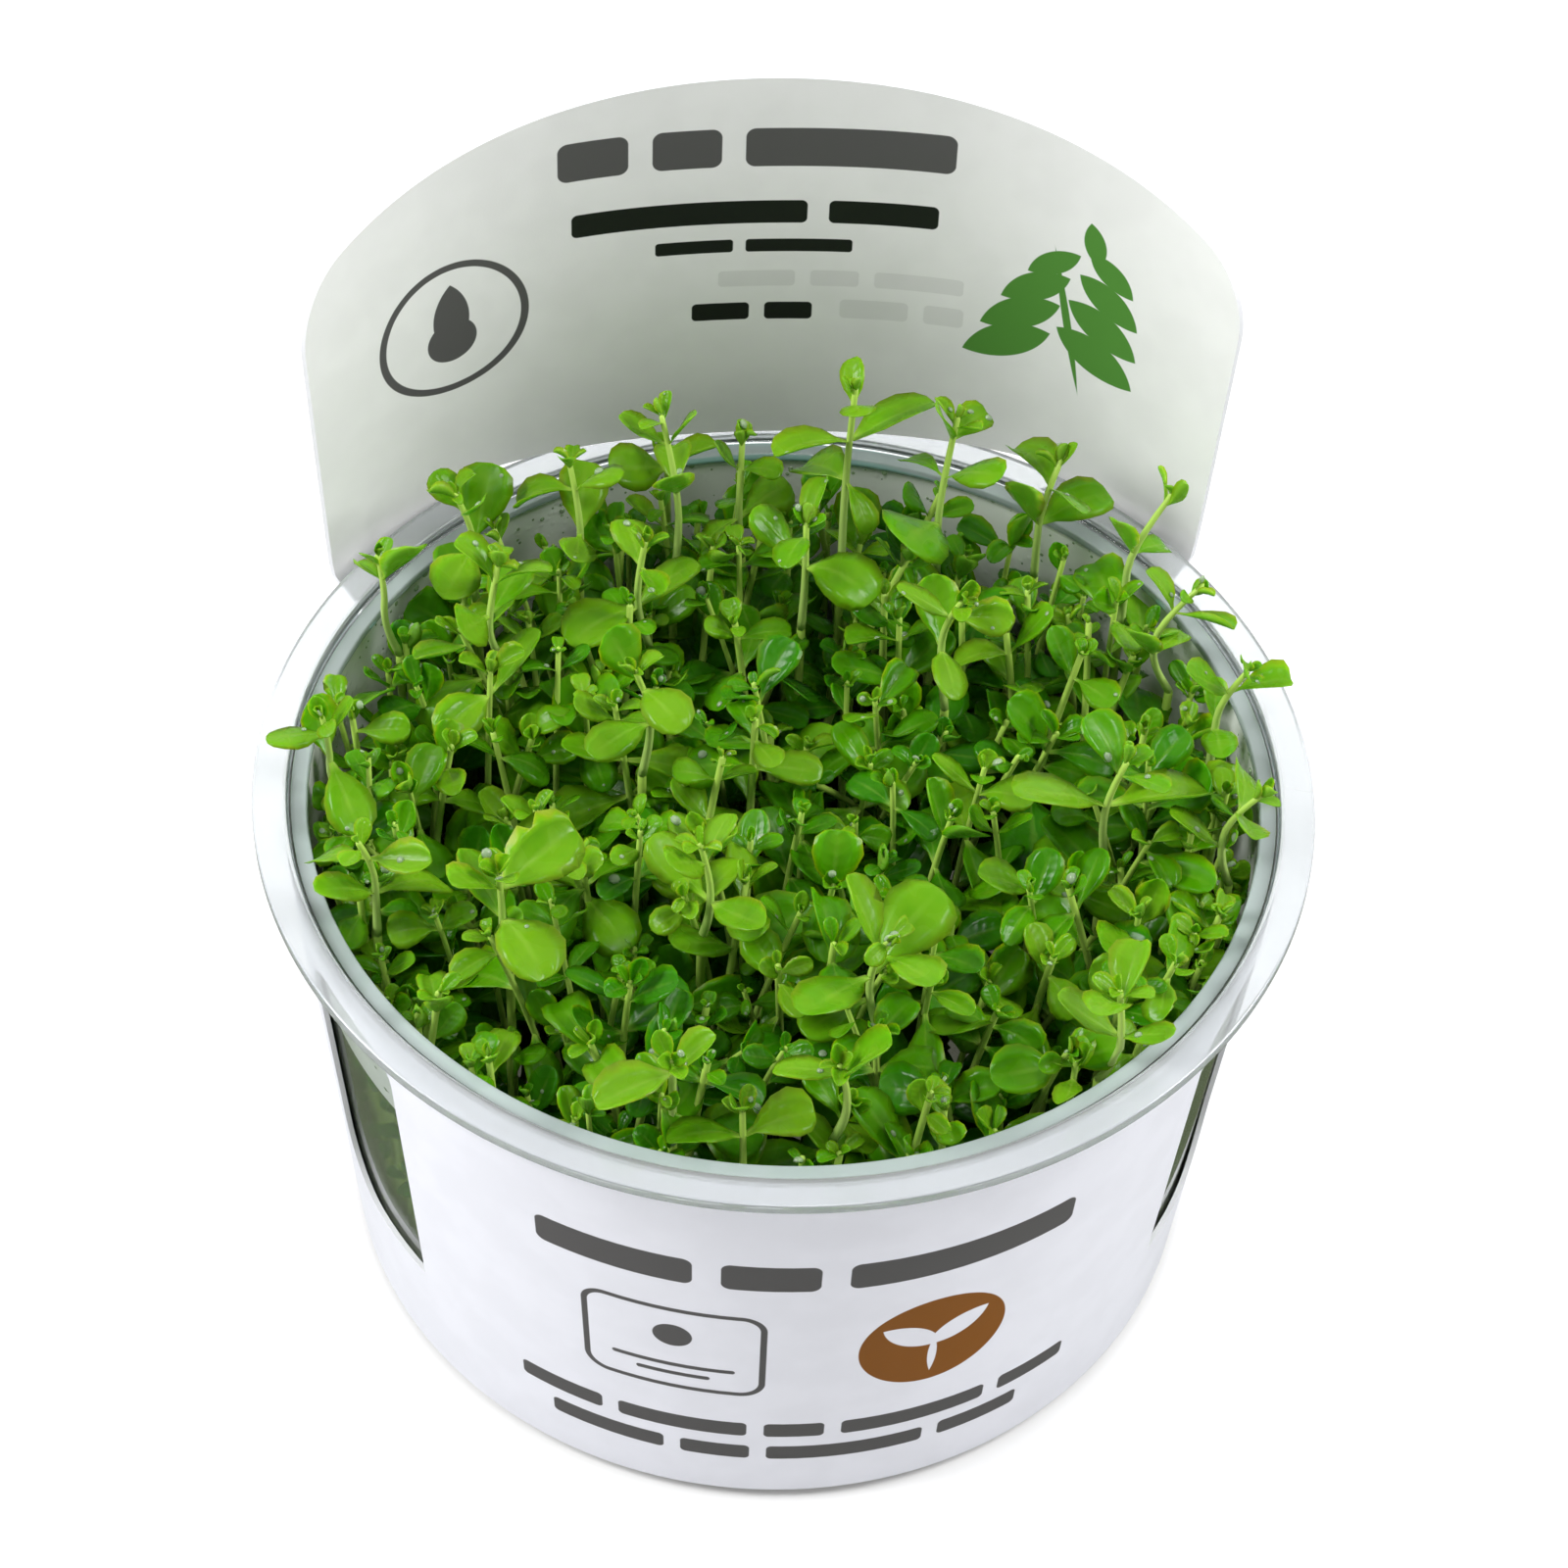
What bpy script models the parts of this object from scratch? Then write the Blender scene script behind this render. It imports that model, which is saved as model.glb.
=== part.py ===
"""Carpet plant grown in a clear cup with a card sleeve.

A tapered clear cup with a wide flange holds nutrient gel and a dense crop of small plantlets. A die-cut
card sleeve goes round the cup, and its back panel stands up behind the plants. The origin is the centre of
the cup's flat base. The sleeve's front faces -Y, the back panel is at +Y, and +Z is up.

Lengths are in metres.
"""

import math

import bmesh
import bpy
import numpy as np
from mathutils import Vector
from mathutils.geometry import delaunay_2d_cdt

MM = 0.001
AIR = 0.3 * MM  # gap left between pieces that touch

# Cup
CUP_HEIGHT = 58.2 * MM
CUP_WALL = 0.8 * MM
CUP_FOOT_RADIUS = 42.2 * MM
CUP_NECK_RADIUS = 46.4 * MM
CUP_NECK_HEIGHT = 56.4 * MM
FOOT_ROUNDING = 1.2 * MM
FLANGE_RADIUS = 50.0 * MM
FLANGE_INNER_RADIUS = 46.9 * MM
FLANGE_THICKNESS = 1.2 * MM
LIP_RADIUS = 44.9 * MM  # the small step inside the flange that a lid snaps on
LIP_DROP = 0.9 * MM
CUP_SIDES = 56

# Card sleeve
CARD = 0.5 * MM
SLEEVE_FOOT = 1.4 * MM
SLEEVE_TOP = 56.6 * MM
STEP_FOOT = 49.0 * MM  # the back panel starts to step out over the flange here
STEP_TOP = 57.0 * MM
PANEL_STEP = 5.6 * MM  # how far the panel's sides stand out past the band
PANEL_TOP = 103.7 * MM
PANEL_ARCH_RADIUS = 115.0 * MM
PANEL_CORNER_RADIUS = 9.0 * MM
PANEL_HALF_ANGLE = 57.0  # degrees round the cup, at the corners
PANEL_FOOT_TAPER = 0.968  # the panel's width at the flange, as a share of the width at its corners
PANEL_FLARE_END = 59.0
RELIEF_ANGLE = 59.5  # the band's top edge starts here, past a small gap beside the panel
BAND_SIDES = 30
SLOT_HALF_LENGTH = 28.4 * MM
SLOT_FOOT = 54.4 * MM
SLOT_TOP = 58.7 * MM
WINDOW_EDGE_ANGLE = 53.25  # degrees from the front, to each side window's straight edge
WINDOW_WIDTH = 16.0 * MM
WINDOW_FOOT = 16.4 * MM
WINDOW_TOP = 51.5 * MM
WINDOW_CORNER_RADIUS = 7.0 * MM

# Gel and crop
GEL_TOP = 13.0 * MM
CROP_RADIUS = 44.4 * MM
CROP_RIM_HEIGHT = 59.6 * MM
CROP_DOME = 2.0 * MM  # extra height in the middle
CROP_BACK_RISE = 2.4 * MM
CROP_RIM_DROP = 5.0 * MM  # the leaves beside the wall are this much lower
CROP_DEPTH = 16.0 * MM  # the deepest gap between plantlets, below the crop's height
CROP_PEAK = 0.4 * MM  # the tallest of the crop's plantlets, over the crop's height
CROP_SIDES = 44
CROP_BACK_GAP = 4.0 * MM
CROP_PLANTS = 185
TIP_DROP = 2.2 * MM  # the leaves' mean height, below the plantlet's tip
TIP_RADIUS = 1.0 * MM
TIP_SLOPE = 1.2  # how steeply the leaves fall away from a tip
MOUTH_RADIUS = 2.4 * MM  # level ground round a socket
SEED = 5

# Each row is one place where the crop is thin: x, y, radius and depth, in millimetres.
THIN_PLACES = (
    (15, 9, 6.5, 15),
    (5, 17, 5.5, 12),
    (-9, 13, 4.5, 10),
    (-31, -5, 4, 12),
    (3, -7, 4, 13),
    (25, -2, 4, 10),
    (-20, -1, 3.5, 9),
    (17, -14, 3.5, 9),
    (-22, -29, 3.5, 8),
    (33, 8, 3.5, 9),
)

# Tall plantlets
STEM_RADIUS = 0.42 * MM
STEM_TIP_RADIUS = 0.30 * MM
STEM_CLEARANCE = 1.2 * MM  # height over the crop's mean top at which a stem starts to lean
SOCKET_DEPTH = 8.0 * MM
SOCKET_SIDES = 5
PAIR_SPACING = 3.7 * MM
LEAF_THICKNESS = 0.45 * MM
LOW_LEAF_LIFT = 12.0  # degrees above level
TOP_LEAF_LIFT = 38.0

# Each row is one section of a leaf: its place along the leaf, its half width, and its slope, as shares of the
# leaf's length, length and lift.
LEAF_SECTIONS = ((0.5, 0.40, 1.15), (0.97, 0.20, 0.9))

# Each row is one tall plantlet: its tip in millimetres, how far it leans outwards in degrees, its leaves'
# length in millimetres, and the turn of its lowest pair of leaves in degrees.
TALL_PLANTS = (
    (39.5, 24.5, 71.5, 32, 4.2, 130),
    (28.5, 30.0, 69.5, 22, 5.0, 15),
    (18.0, 30.0, 75.5, 10, 5.5, 40),
    (8.0, 30.5, 79.0, 10, 5.0, 100),
    (-2.5, 33.0, 70.5, 15, 4.2, 60),
    (-10.5, 31.0, 75.5, 18, 5.0, 165),
    (-19.5, 29.5, 71.5, 12, 5.0, 80),
    (-30.5, 28.0, 68.5, 22, 4.8, 30),
    (-38.0, 21.0, 67.5, 20, 5.0, 140),
    (-26.5, 18.0, 69.0, 8, 5.2, 70),
    (-43.0, 1.0, 66.5, 20, 4.8, 110),
    (-12.5, 20.0, 69.5, 8, 5.2, 5),
    (3.0, 21.5, 70.0, 5, 5.2, 150),
    (40.5, 14.0, 68.0, 18, 5.0, 55),
    (43.5, 3.5, 67.0, 20, 4.5, 95),
    (43.0, -11.0, 66.0, 18, 4.6, 165),
    (30.5, -8.5, 68.0, 6, 6.0, 25),
    (2.0, -40.5, 65.5, 14, 5.4, 175),
    (-12.5, -39.5, 65.5, 12, 5.2, 20),
    (-27.0, -20.0, 68.0, 8, 6.0, 120),
    (-39.5, -14.5, 66.5, 12, 5.2, 65),
    (7.0, -28.5, 67.5, 6, 6.0, 45),
    (27.0, -34.0, 66.5, 10, 5.6, 155),
    (-14.0, 3.5, 69.0, 6, 5.2, 35),
    (17.0, 11.0, 69.5, 8, 5.4, 85),
    (-9.0, -17.5, 68.5, 7, 5.4, 145),
)


def reset_scene():
    """Take away whatever the scene holds."""
    for thing in list(bpy.data.objects):
        bpy.data.objects.remove(thing, do_unlink=True)


def new_material(name, colour, roughness, alpha=1.0):
    """Return a Principled BSDF material with these values."""
    material = bpy.data.materials.new(name)
    material.use_nodes = True
    shader = material.node_tree.nodes["Principled BSDF"]
    shader.inputs["Base Color"].default_value = (*colour, 1.0)
    shader.inputs["Roughness"].default_value = roughness
    shader.inputs["Metallic"].default_value = 0.0
    shader.inputs["Alpha"].default_value = alpha
    material.diffuse_color = (*colour, alpha)
    return material


def new_object(name, points, faces, material=None):
    """Make an object from closed faces and turn them all outwards."""
    mesh = bpy.data.meshes.new(name)
    mesh.from_pydata([tuple(point) for point in points], [], faces)
    mesh.validate()
    shape = bmesh.new()
    shape.from_mesh(mesh)
    bmesh.ops.recalc_face_normals(shape, faces=shape.faces[:])
    shape.to_mesh(mesh)
    shape.free()
    thing = bpy.data.objects.new(name, mesh)
    bpy.context.scene.collection.objects.link(thing)
    if material is not None:
        mesh.materials.append(material)
    return thing


def join_rings(first, second):
    """Return the quads between two closed rings of vertex numbers."""
    count = len(first)
    return [
        (first[i], first[(i + 1) % count], second[(i + 1) % count], second[i])
        for i in range(count)
    ]


def turned(name, profile, sides, material):
    """Turn a profile of (radius, height) points, from axis to axis, round +Z."""
    points = [(0.0, 0.0, profile[0][1])]
    faces = []
    rings = []
    for radius, height in profile[1:-1]:
        start = len(points)
        for i in range(sides):
            angle = 2 * math.pi * i / sides
            points.append((radius * math.cos(angle), radius * math.sin(angle), height))
        rings.append(list(range(start, start + sides)))
    last = len(points)
    points.append((0.0, 0.0, profile[-1][1]))
    for first, second in zip(rings, rings[1:]):
        faces += join_rings(first, second)
    for i in range(sides):
        faces.append((0, rings[0][(i + 1) % sides], rings[0][i]))
        faces.append((last, rings[-1][i], rings[-1][(i + 1) % sides]))
    return new_object(name, points, faces, material)


def apply_boolean(thing, other, operation):
    """Apply one exact Boolean and remove the other object."""
    modifier = thing.modifiers.new("cut", "BOOLEAN")
    modifier.operation = operation
    modifier.solver = "EXACT"
    modifier.object = other
    graph = bpy.context.evaluated_depsgraph_get()
    mesh = bpy.data.meshes.new_from_object(thing.evaluated_get(graph))
    thing.modifiers.remove(modifier)
    thing.data = mesh
    bpy.data.objects.remove(other, do_unlink=True)


def outer_wall(height):
    """Radius of the cup's outer wall at this height."""
    share = (height - FOOT_ROUNDING) / (CUP_NECK_HEIGHT - FOOT_ROUNDING)
    return CUP_FOOT_RADIUS + (CUP_NECK_RADIUS - CUP_FOOT_RADIUS) * share


def inner_wall(height):
    """Radius of the cup's inner wall at this height."""
    return outer_wall(height) - CUP_WALL


def build_cup(material):
    """The clear cup: flat base, tapered wall, wide flange, and a lid step inside it."""
    top = CUP_HEIGHT
    under = top - FLANGE_THICKNESS
    edge = 0.3 * MM
    floor = CUP_WALL
    profile = [
        (0.0, 0.0),
        (CUP_FOOT_RADIUS - 1.5 * MM, 0.0),
        (CUP_FOOT_RADIUS - 0.5 * MM, 0.35 * MM),
        (CUP_FOOT_RADIUS, FOOT_ROUNDING),
        (CUP_NECK_RADIUS, CUP_NECK_HEIGHT),
        (CUP_NECK_RADIUS + 0.7 * MM, under),
        (FLANGE_RADIUS - edge, under),
        (FLANGE_RADIUS, under + edge),
        (FLANGE_RADIUS, top - edge),
        (FLANGE_RADIUS - edge, top),
        (FLANGE_INNER_RADIUS + edge, top),
        (FLANGE_INNER_RADIUS, top - edge),
        (FLANGE_INNER_RADIUS - edge, top - LIP_DROP),
        (LIP_RADIUS, top - LIP_DROP),
        (LIP_RADIUS, top - LIP_DROP - 0.6 * MM),
        (inner_wall(top - 2.6 * MM), top - 2.6 * MM),
        (inner_wall(2.2 * MM), 2.2 * MM),
        (inner_wall(2.2 * MM) - 0.5 * MM, floor + 0.4 * MM),
        (inner_wall(2.2 * MM) - 1.3 * MM, floor),
        (0.0, floor),
    ]
    return turned("cup", profile, CUP_SIDES, material)


def build_gel(material):
    """The gel that fills the bottom of the cup."""
    foot = CUP_WALL + AIR
    corner = inner_wall(2.2 * MM) - AIR
    profile = [
        (0.0, foot),
        (corner - 1.4 * MM, foot),
        (corner - 0.5 * MM, foot + 0.5 * MM),
        (corner, 2.6 * MM),
        (inner_wall(GEL_TOP) - AIR, GEL_TOP),
        (0.0, GEL_TOP),
    ]
    return turned("growing_gel", profile, CROP_SIDES, material)


def smooth_step(low, high, value):
    """0 below low, 1 above high, and an S-curve between."""
    share = min(max((value - low) / (high - low), 0.0), 1.0)
    return share * share * (3 - 2 * share)


def card_radius(angle, height):
    """Distance of the card's middle from the axis. The angle is in degrees from the back."""
    band = outer_wall(min(height, SLEEVE_TOP)) + AIR + CARD / 2
    if abs(angle) > PANEL_FLARE_END:
        return band
    flare = PANEL_STEP * math.sin(math.pi / 2 * angle / PANEL_FLARE_END) ** 2
    return band + flare * smooth_step(STEP_FOOT, STEP_TOP, height)


def card_point(angle, height, offset):
    """A point of the card, this far out from its middle."""
    radius = card_radius(angle, height) + offset
    turn = math.radians(angle)
    return (radius * math.sin(turn), radius * math.cos(turn), height)


def panel_outline():
    """The panel's columns as (angle from the back, top height), over the arch and round both corners."""
    unrolled = 49.9 * MM  # half the panel's width on the flat card
    centre_height = PANEL_TOP - PANEL_ARCH_RADIUS
    corner_x = unrolled - PANEL_CORNER_RADIUS
    reach = PANEL_ARCH_RADIUS - PANEL_CORNER_RADIUS
    corner_angle = math.asin(corner_x / reach)
    corner_height = centre_height + reach * math.cos(corner_angle)
    columns = []
    arch_steps = 6
    for i in range(arch_steps + 1):
        angle = corner_angle * i / arch_steps
        columns.append(
            (
                PANEL_ARCH_RADIUS * math.sin(angle),
                centre_height + PANEL_ARCH_RADIUS * math.cos(angle),
            )
        )
    corner_steps = 4
    for i in range(1, corner_steps + 1):
        angle = corner_angle + (math.pi / 2 - corner_angle) * i / corner_steps
        columns.append(
            (
                corner_x + PANEL_CORNER_RADIUS * math.sin(angle),
                corner_height + PANEL_CORNER_RADIUS * math.cos(angle),
            )
        )
    half = [(PANEL_HALF_ANGLE * x / unrolled, height) for x, height in columns]
    return [(-angle, height) for angle, height in reversed(half[1:])] + half


def panel_angle(angle, height, corner_height):
    """The column's angle at this height: the panel is a little narrower at the flange."""
    share = min(max((corner_height - height) / (corner_height - STEP_TOP), 0.0), 1.0)
    return angle * (1 - (1 - PANEL_FOOT_TAPER) * share)


class Card:
    """Collects the card's two skins and then closes the rim between them."""

    def __init__(self):
        self.points = []
        self.quads = []

    def column(self, angle, heights):
        """Add a column of points on the inner and the outer skin, and return their numbers."""
        numbers = []
        for height, column_angle in heights:
            number = len(self.points)
            self.points.append(card_point(column_angle, height, -CARD / 2))
            self.points.append(card_point(column_angle, height, CARD / 2))
            numbers.append(number)
        return numbers

    def sheet(self, first, second):
        """Add the strips between two columns, which run with a growing angle."""
        for low_a, high_a, low_b, high_b in zip(first, first[1:], second, second[1:]):
            self.quads.append((low_a, low_b, high_b, high_a))

    def solid(self, name, material):
        """Make the closed card from its strips."""
        faces = []
        edges = {}
        for quad in self.quads:
            faces.append(quad)
            faces.append(tuple(number + 1 for number in reversed(quad)))
            for a, b in zip(quad, quad[1:] + quad[:1]):
                key = (min(a, b), max(a, b))
                edges.setdefault(key, []).append((a, b))
        for found in edges.values():
            if len(found) == 1:
                a, b = found[0]
                faces.append((b, a, a + 1, b + 1))
        return new_object(name, self.points, faces, material)


def radial_cutter(name, outline, near, far):
    """A prism whose (angle from the back, height) outline is carried outwards from the axis."""
    points = []
    for radius in (near, far):
        for angle, height in outline:
            turn = math.radians(angle)
            points.append((radius * math.sin(turn), radius * math.cos(turn), height))
    count = len(outline)
    inner = list(range(count))
    outer = list(range(count, 2 * count))
    return new_object(name, points, join_rings(inner, outer) + [tuple(inner), tuple(outer)])


def arc(centre, radius, start, end, steps):
    """Points on an arc, with its angles in degrees."""
    points = []
    for i in range(steps + 1):
        angle = math.radians(start + (end - start) * i / steps)
        points.append(
            (centre[0] + radius * math.cos(angle), centre[1] + radius * math.sin(angle))
        )
    return points


def window_outline(side):
    """The D-shaped side window: a straight front edge and rounded rear corners."""
    corner = WINDOW_CORNER_RADIUS
    rear = WINDOW_WIDTH - corner
    low = arc((rear, WINDOW_FOOT + corner), corner, -90, 0, 4)
    high = arc((rear, WINDOW_TOP - corner), corner, 0, 90, 4)
    front_top = [(3.4 * MM, WINDOW_TOP - 0.8 * MM), (0.0, WINDOW_TOP - 3.5 * MM)]
    middle_radius = 45.5 * MM
    outline = []
    for x, height in [(0.0, WINDOW_FOOT)] + low + high + front_top:
        from_front = WINDOW_EDGE_ANGLE + math.degrees(x / middle_radius)
        outline.append((side * (180 - from_front), height))
    return outline


def slot_outline():
    """The slot over the flange, with round ends, as (x, height)."""
    radius = (SLOT_TOP - SLOT_FOOT) / 2
    middle = (SLOT_TOP + SLOT_FOOT) / 2
    end = SLOT_HALF_LENGTH - radius
    return arc((end, middle), radius, -90, 90, 6) + arc((-end, middle), radius, 90, 270, 6)


def build_sleeve(material):
    """The die-cut card: a band round the cup and a tall back panel, with a slot and two windows."""
    card = Card()
    outline = panel_outline()
    corner_height = PANEL_TOP - 17.6 * MM
    band_rows = (SLEEVE_FOOT, STEP_FOOT)
    step_rows = (STEP_FOOT, 51.0 * MM, 53.0 * MM, 55.0 * MM, STEP_TOP)
    columns = []
    for angle, top in outline:
        low_angle = panel_angle(angle, STEP_TOP, corner_height)
        heights = [(band_rows[0], low_angle)]
        heights += [(height, low_angle) for height in step_rows]
        shoulder = min(corner_height, top)
        heights.append((shoulder, panel_angle(angle, shoulder, corner_height)))
        if top > shoulder + 0.05 * MM:
            heights.append((top, angle))
        columns.append((low_angle, heights, True))
    for i in range(BAND_SIDES + 1):
        angle = RELIEF_ANGLE + (360 - 2 * RELIEF_ANGLE) * i / BAND_SIDES
        heights = [(height, angle) for height in (*band_rows, SLEEVE_TOP)]
        columns.append((angle, heights, False))
    built = [(card.column(angle, heights), heights, panel) for angle, heights, panel in columns]
    for (numbers_a, _, panel_a), (numbers_b, _, panel_b) in zip(built, built[1:] + built[:1]):
        if panel_a != panel_b:
            card.sheet(numbers_a[:2], numbers_b[:2])
            continue
        shared = min(len(numbers_a), len(numbers_b))
        card.sheet(numbers_a[:shared], numbers_b[:shared])
        if len(numbers_a) != len(numbers_b):
            longer, shorter = (
                (numbers_a, numbers_b) if len(numbers_a) > shared else (numbers_b, numbers_a)
            )
            tip = (longer[shared - 1], shorter[shared - 1], longer[shared])
            card.quads.append(tip if longer is numbers_a else (tip[1], tip[0], tip[2]))
    sleeve = card.solid("sleeve", material)
    slot = slot_outline()
    near = [(x, 30 * MM, height) for x, height in slot]
    far = [(x, 70 * MM, height) for x, height in slot]
    count = len(slot)
    inner = list(range(count))
    outer = list(range(count, 2 * count))
    cutter = new_object("slot_cutter", near + far, join_rings(inner, outer) + [tuple(inner), tuple(outer)])
    apply_boolean(sleeve, cutter, "DIFFERENCE")
    for side in (-1, 1):
        window = radial_cutter("window_cutter", window_outline(side), 36 * MM, 60 * MM)
        apply_boolean(sleeve, window, "DIFFERENCE")
    return sleeve


def crop_height(x, y):
    """Height of the crop's top over this place, before its lumps."""
    out = math.hypot(x, y) / CROP_RADIUS
    back = smooth_step(-2 * MM, 34 * MM, y)
    return CROP_RIM_HEIGHT + CROP_DOME * (1 - out * out) + CROP_BACK_RISE * back


def crop_reach(angle):
    """How far the crop reaches from the axis: the plants stand a little off the wall at the back."""
    return CROP_RADIUS - CROP_BACK_GAP * smooth_step(0.2, 0.9, math.sin(angle))


def crop_ring(points, height, limit):
    """Add a ring of points round the crop at this height and return their numbers."""
    start = len(points)
    for i in range(CROP_SIDES):
        angle = 2 * math.pi * i / CROP_SIDES
        radius = min(crop_reach(angle), limit)
        points.append(Vector((radius * math.cos(angle), radius * math.sin(angle), height)))
    return list(range(start, start + CROP_SIDES))


def plant_tips():
    """Tips of the crop's plantlets: a sunflower spread with a random shift, near the crop's height, lower for
    three in ten and in the thin places."""
    chance = np.random.default_rng(SEED)
    shift = chance.normal(0, 0.75, (CROP_PLANTS, 2)) * MM
    lift = chance.normal(0, 1.6, CROP_PLANTS) * MM
    low = chance.random(CROP_PLANTS) < 0.3
    sunk = chance.uniform(3, 10, CROP_PLANTS) * MM
    thin = [chance.uniform(0.3, 1.25, CROP_PLANTS) * MM for _ in THIN_PLACES]
    tips = []
    for i in range(CROP_PLANTS):
        angle = i * math.pi * (3 - math.sqrt(5))
        reach = (crop_reach(angle) - 2.2 * MM) * math.sqrt((i + 0.5) / CROP_PLANTS)
        spot = Vector((reach * math.cos(angle) + shift[i][0], reach * math.sin(angle) + shift[i][1]))
        spot *= min(1, (CROP_RADIUS - 1.8 * MM) / spot.length)
        height = crop_height(spot.x, spot.y) - 1 * MM + lift[i] - (sunk[i] if low[i] else 0)
        for (x, y, radius, depth), share in zip(THIN_PLACES, thin):
            away = (spot - Vector((x, y)) * MM).length / (radius * MM)
            height -= depth * math.exp(-away * away) * share[i]
        tips.append(Vector((spot.x, spot.y, height)))
    return tips


def leafy_height(place, tips, mouths):
    """Height of the crop's solid here: the highest of cones that fall away from the tips and socket mouths."""
    ground = crop_height(place.x, place.y)
    height = ground - CROP_DEPTH
    for tip in tips:
        away = max(0.0, (tip.to_2d() - place.to_2d()).length - TIP_RADIUS)
        height = max(height, tip.z - TIP_DROP - TIP_SLOPE * away)
    for mouth in mouths:
        away = max(0.0, (mouth.to_2d() - place.to_2d()).length - MOUTH_RADIUS)
        height = max(height, mouth.z - TIP_SLOPE * away)
    return min(height, ground + CROP_PEAK)


def build_crop(roots, material):
    """The crop's form: a cone down the cup's wall, and a top that rises to every plantlet's tip."""
    tips = plant_tips()
    mouths = [root - Vector((0, 0, STEM_CLEARANCE)) for root in roots]
    places = []
    crop_ring(places, 0.0, CROP_RADIUS)
    for tip in tips:
        near = min((tip.to_2d() - other.to_2d()).length for other in places + mouths)
        if near > 1.6 * MM:
            places.append(tip)
    places += mouths
    flat, _, triangles, *_ = delaunay_2d_cdt([place.to_2d() for place in places], [], [], 0, 1e-6)
    points = []
    for number, place in enumerate(flat):
        height = leafy_height(place, tips, mouths)
        if number < CROP_SIDES:
            height = crop_height(place.x, place.y) - CROP_RIM_DROP
        points.append(Vector((place.x, place.y, height)))
    faces = []
    for a, b, c in triangles:
        middle = (points[a] + points[b] + points[c]) / 3
        points.append(Vector((middle.x, middle.y, leafy_height(middle, tips, mouths))))
        valley = len(points) - 1
        faces += [(a, b, valley), (b, c, valley), (c, a, valley)]
    rings = []
    for height in (GEL_TOP + AIR, 34 * MM):
        rings.append(crop_ring(points, height, inner_wall(height) - AIR - 0.1 * MM))
    rings.append(list(range(CROP_SIDES)))
    faces.append(tuple(rings[0]))
    for first, second in zip(rings, rings[1:]):
        faces += join_rings(first, second)
    return new_object("leaf_carpet", points, faces, material)


def root_under(tip, lean):
    """The place over the crop that a stem with this tip and outward lean rises from."""
    ground = crop_height(tip.x, tip.y) + STEM_CLEARANCE
    flat = Vector((tip.x, tip.y, 0))
    root = flat - flat.normalized() * (tip.z - ground) * math.tan(math.radians(lean))
    return Vector((root.x, root.y, ground))


def level_ring(points, place, radius, turn, sides=4):
    """Add a level ring of points round a stem and return their numbers."""
    start = len(points)
    for k in range(sides):
        angle = math.radians(turn) + 2 * math.pi * (k - 0.5) / sides
        points.append(place + Vector((math.cos(angle), math.sin(angle), 0)) * radius)
    return list(range(start, start + sides))


def grow_leaf(points, faces, root, heading, lift, length):
    """Carry one side of a stem outwards as a thin leaf: root, widest part, and blunt end."""
    centre = sum((points[number] for number in root), Vector()) / 4
    flat = Vector((math.cos(heading), math.sin(heading), 0))
    across = Vector((-math.sin(heading), math.cos(heading), 0))
    ring = list(root)
    for share, half_width, slope in LEAF_SECTIONS:
        tilt = lift * slope
        ahead = flat * math.cos(tilt) + Vector((0, 0, math.sin(tilt)))
        up = across.cross(ahead) * -LEAF_THICKNESS / 2
        middle = centre + ahead * share * length
        side = across * half_width * length
        start = len(points)
        points += [middle - side - up, middle + side - up, middle + side + up, middle - side + up]
        further = list(range(start, start + 4))
        faces += join_rings(ring, further)
        ring = further
    faces.append(tuple(ring))


def stem_point(root, tip, share):
    """A point of the stem above the crop: upright at first, then leaning towards its tip."""
    bend = root + Vector((0, 0, 0.5 * (tip.z - root.z)))
    return root * (1 - share) ** 2 + bend * 2 * share * (1 - share) + tip * share**2


def build_plantlet(name, root, tip, leaf, turn, material):
    """One tall plantlet: a stem out of its socket, crossed pairs of leaves, and a bud at the tip."""
    foot = root - Vector((0, 0, SOCKET_DEPTH))
    tall = tip.z - root.z
    pairs = max(1, min(3, int((tall + 2.4 * MM) / PAIR_SPACING)))
    points = []
    faces = []
    ring = level_ring(points, foot, STEM_RADIUS, turn)
    faces.append(tuple(ring))
    mouth = level_ring(points, root, STEM_RADIUS, turn)
    faces += join_rings(ring, mouth)
    ring = mouth
    for pair in range(pairs):
        down = 0.9 * MM + PAIR_SPACING * (pairs - 1 - pair)
        low = stem_point(root, tip, 1 - (down + 0.4 * MM) / tall)
        high = stem_point(root, tip, 1 - (down - 0.4 * MM) / tall)
        under = level_ring(points, low, STEM_RADIUS, turn)
        over = level_ring(points, high, STEM_TIP_RADIUS, turn)
        faces += join_rings(ring, under)
        for k in range(4):
            sides = (under[k], under[(k + 1) % 4], over[(k + 1) % 4], over[k])
            if k % 2 != pair % 2:
                faces.append(sides)
                continue
            heading = math.radians(turn) + math.pi / 2 * k
            last = pair == pairs - 1
            lift = math.radians(TOP_LEAF_LIFT if last else LOW_LEAF_LIFT)
            grow_leaf(points, faces, sides, heading, lift, leaf * (0.85 if last else 1.0))
        ring = over
    for height, width in ((0.9 * MM, 0.55 * MM), (1.9 * MM, 0.22 * MM)):
        bud = level_ring(points, tip + Vector((0, 0, height - 0.9 * MM)), width, turn)
        faces += join_rings(ring, bud)
        ring = bud
    faces.append(tuple(ring))
    new_object(name, points, faces, material)
    return foot


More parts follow.
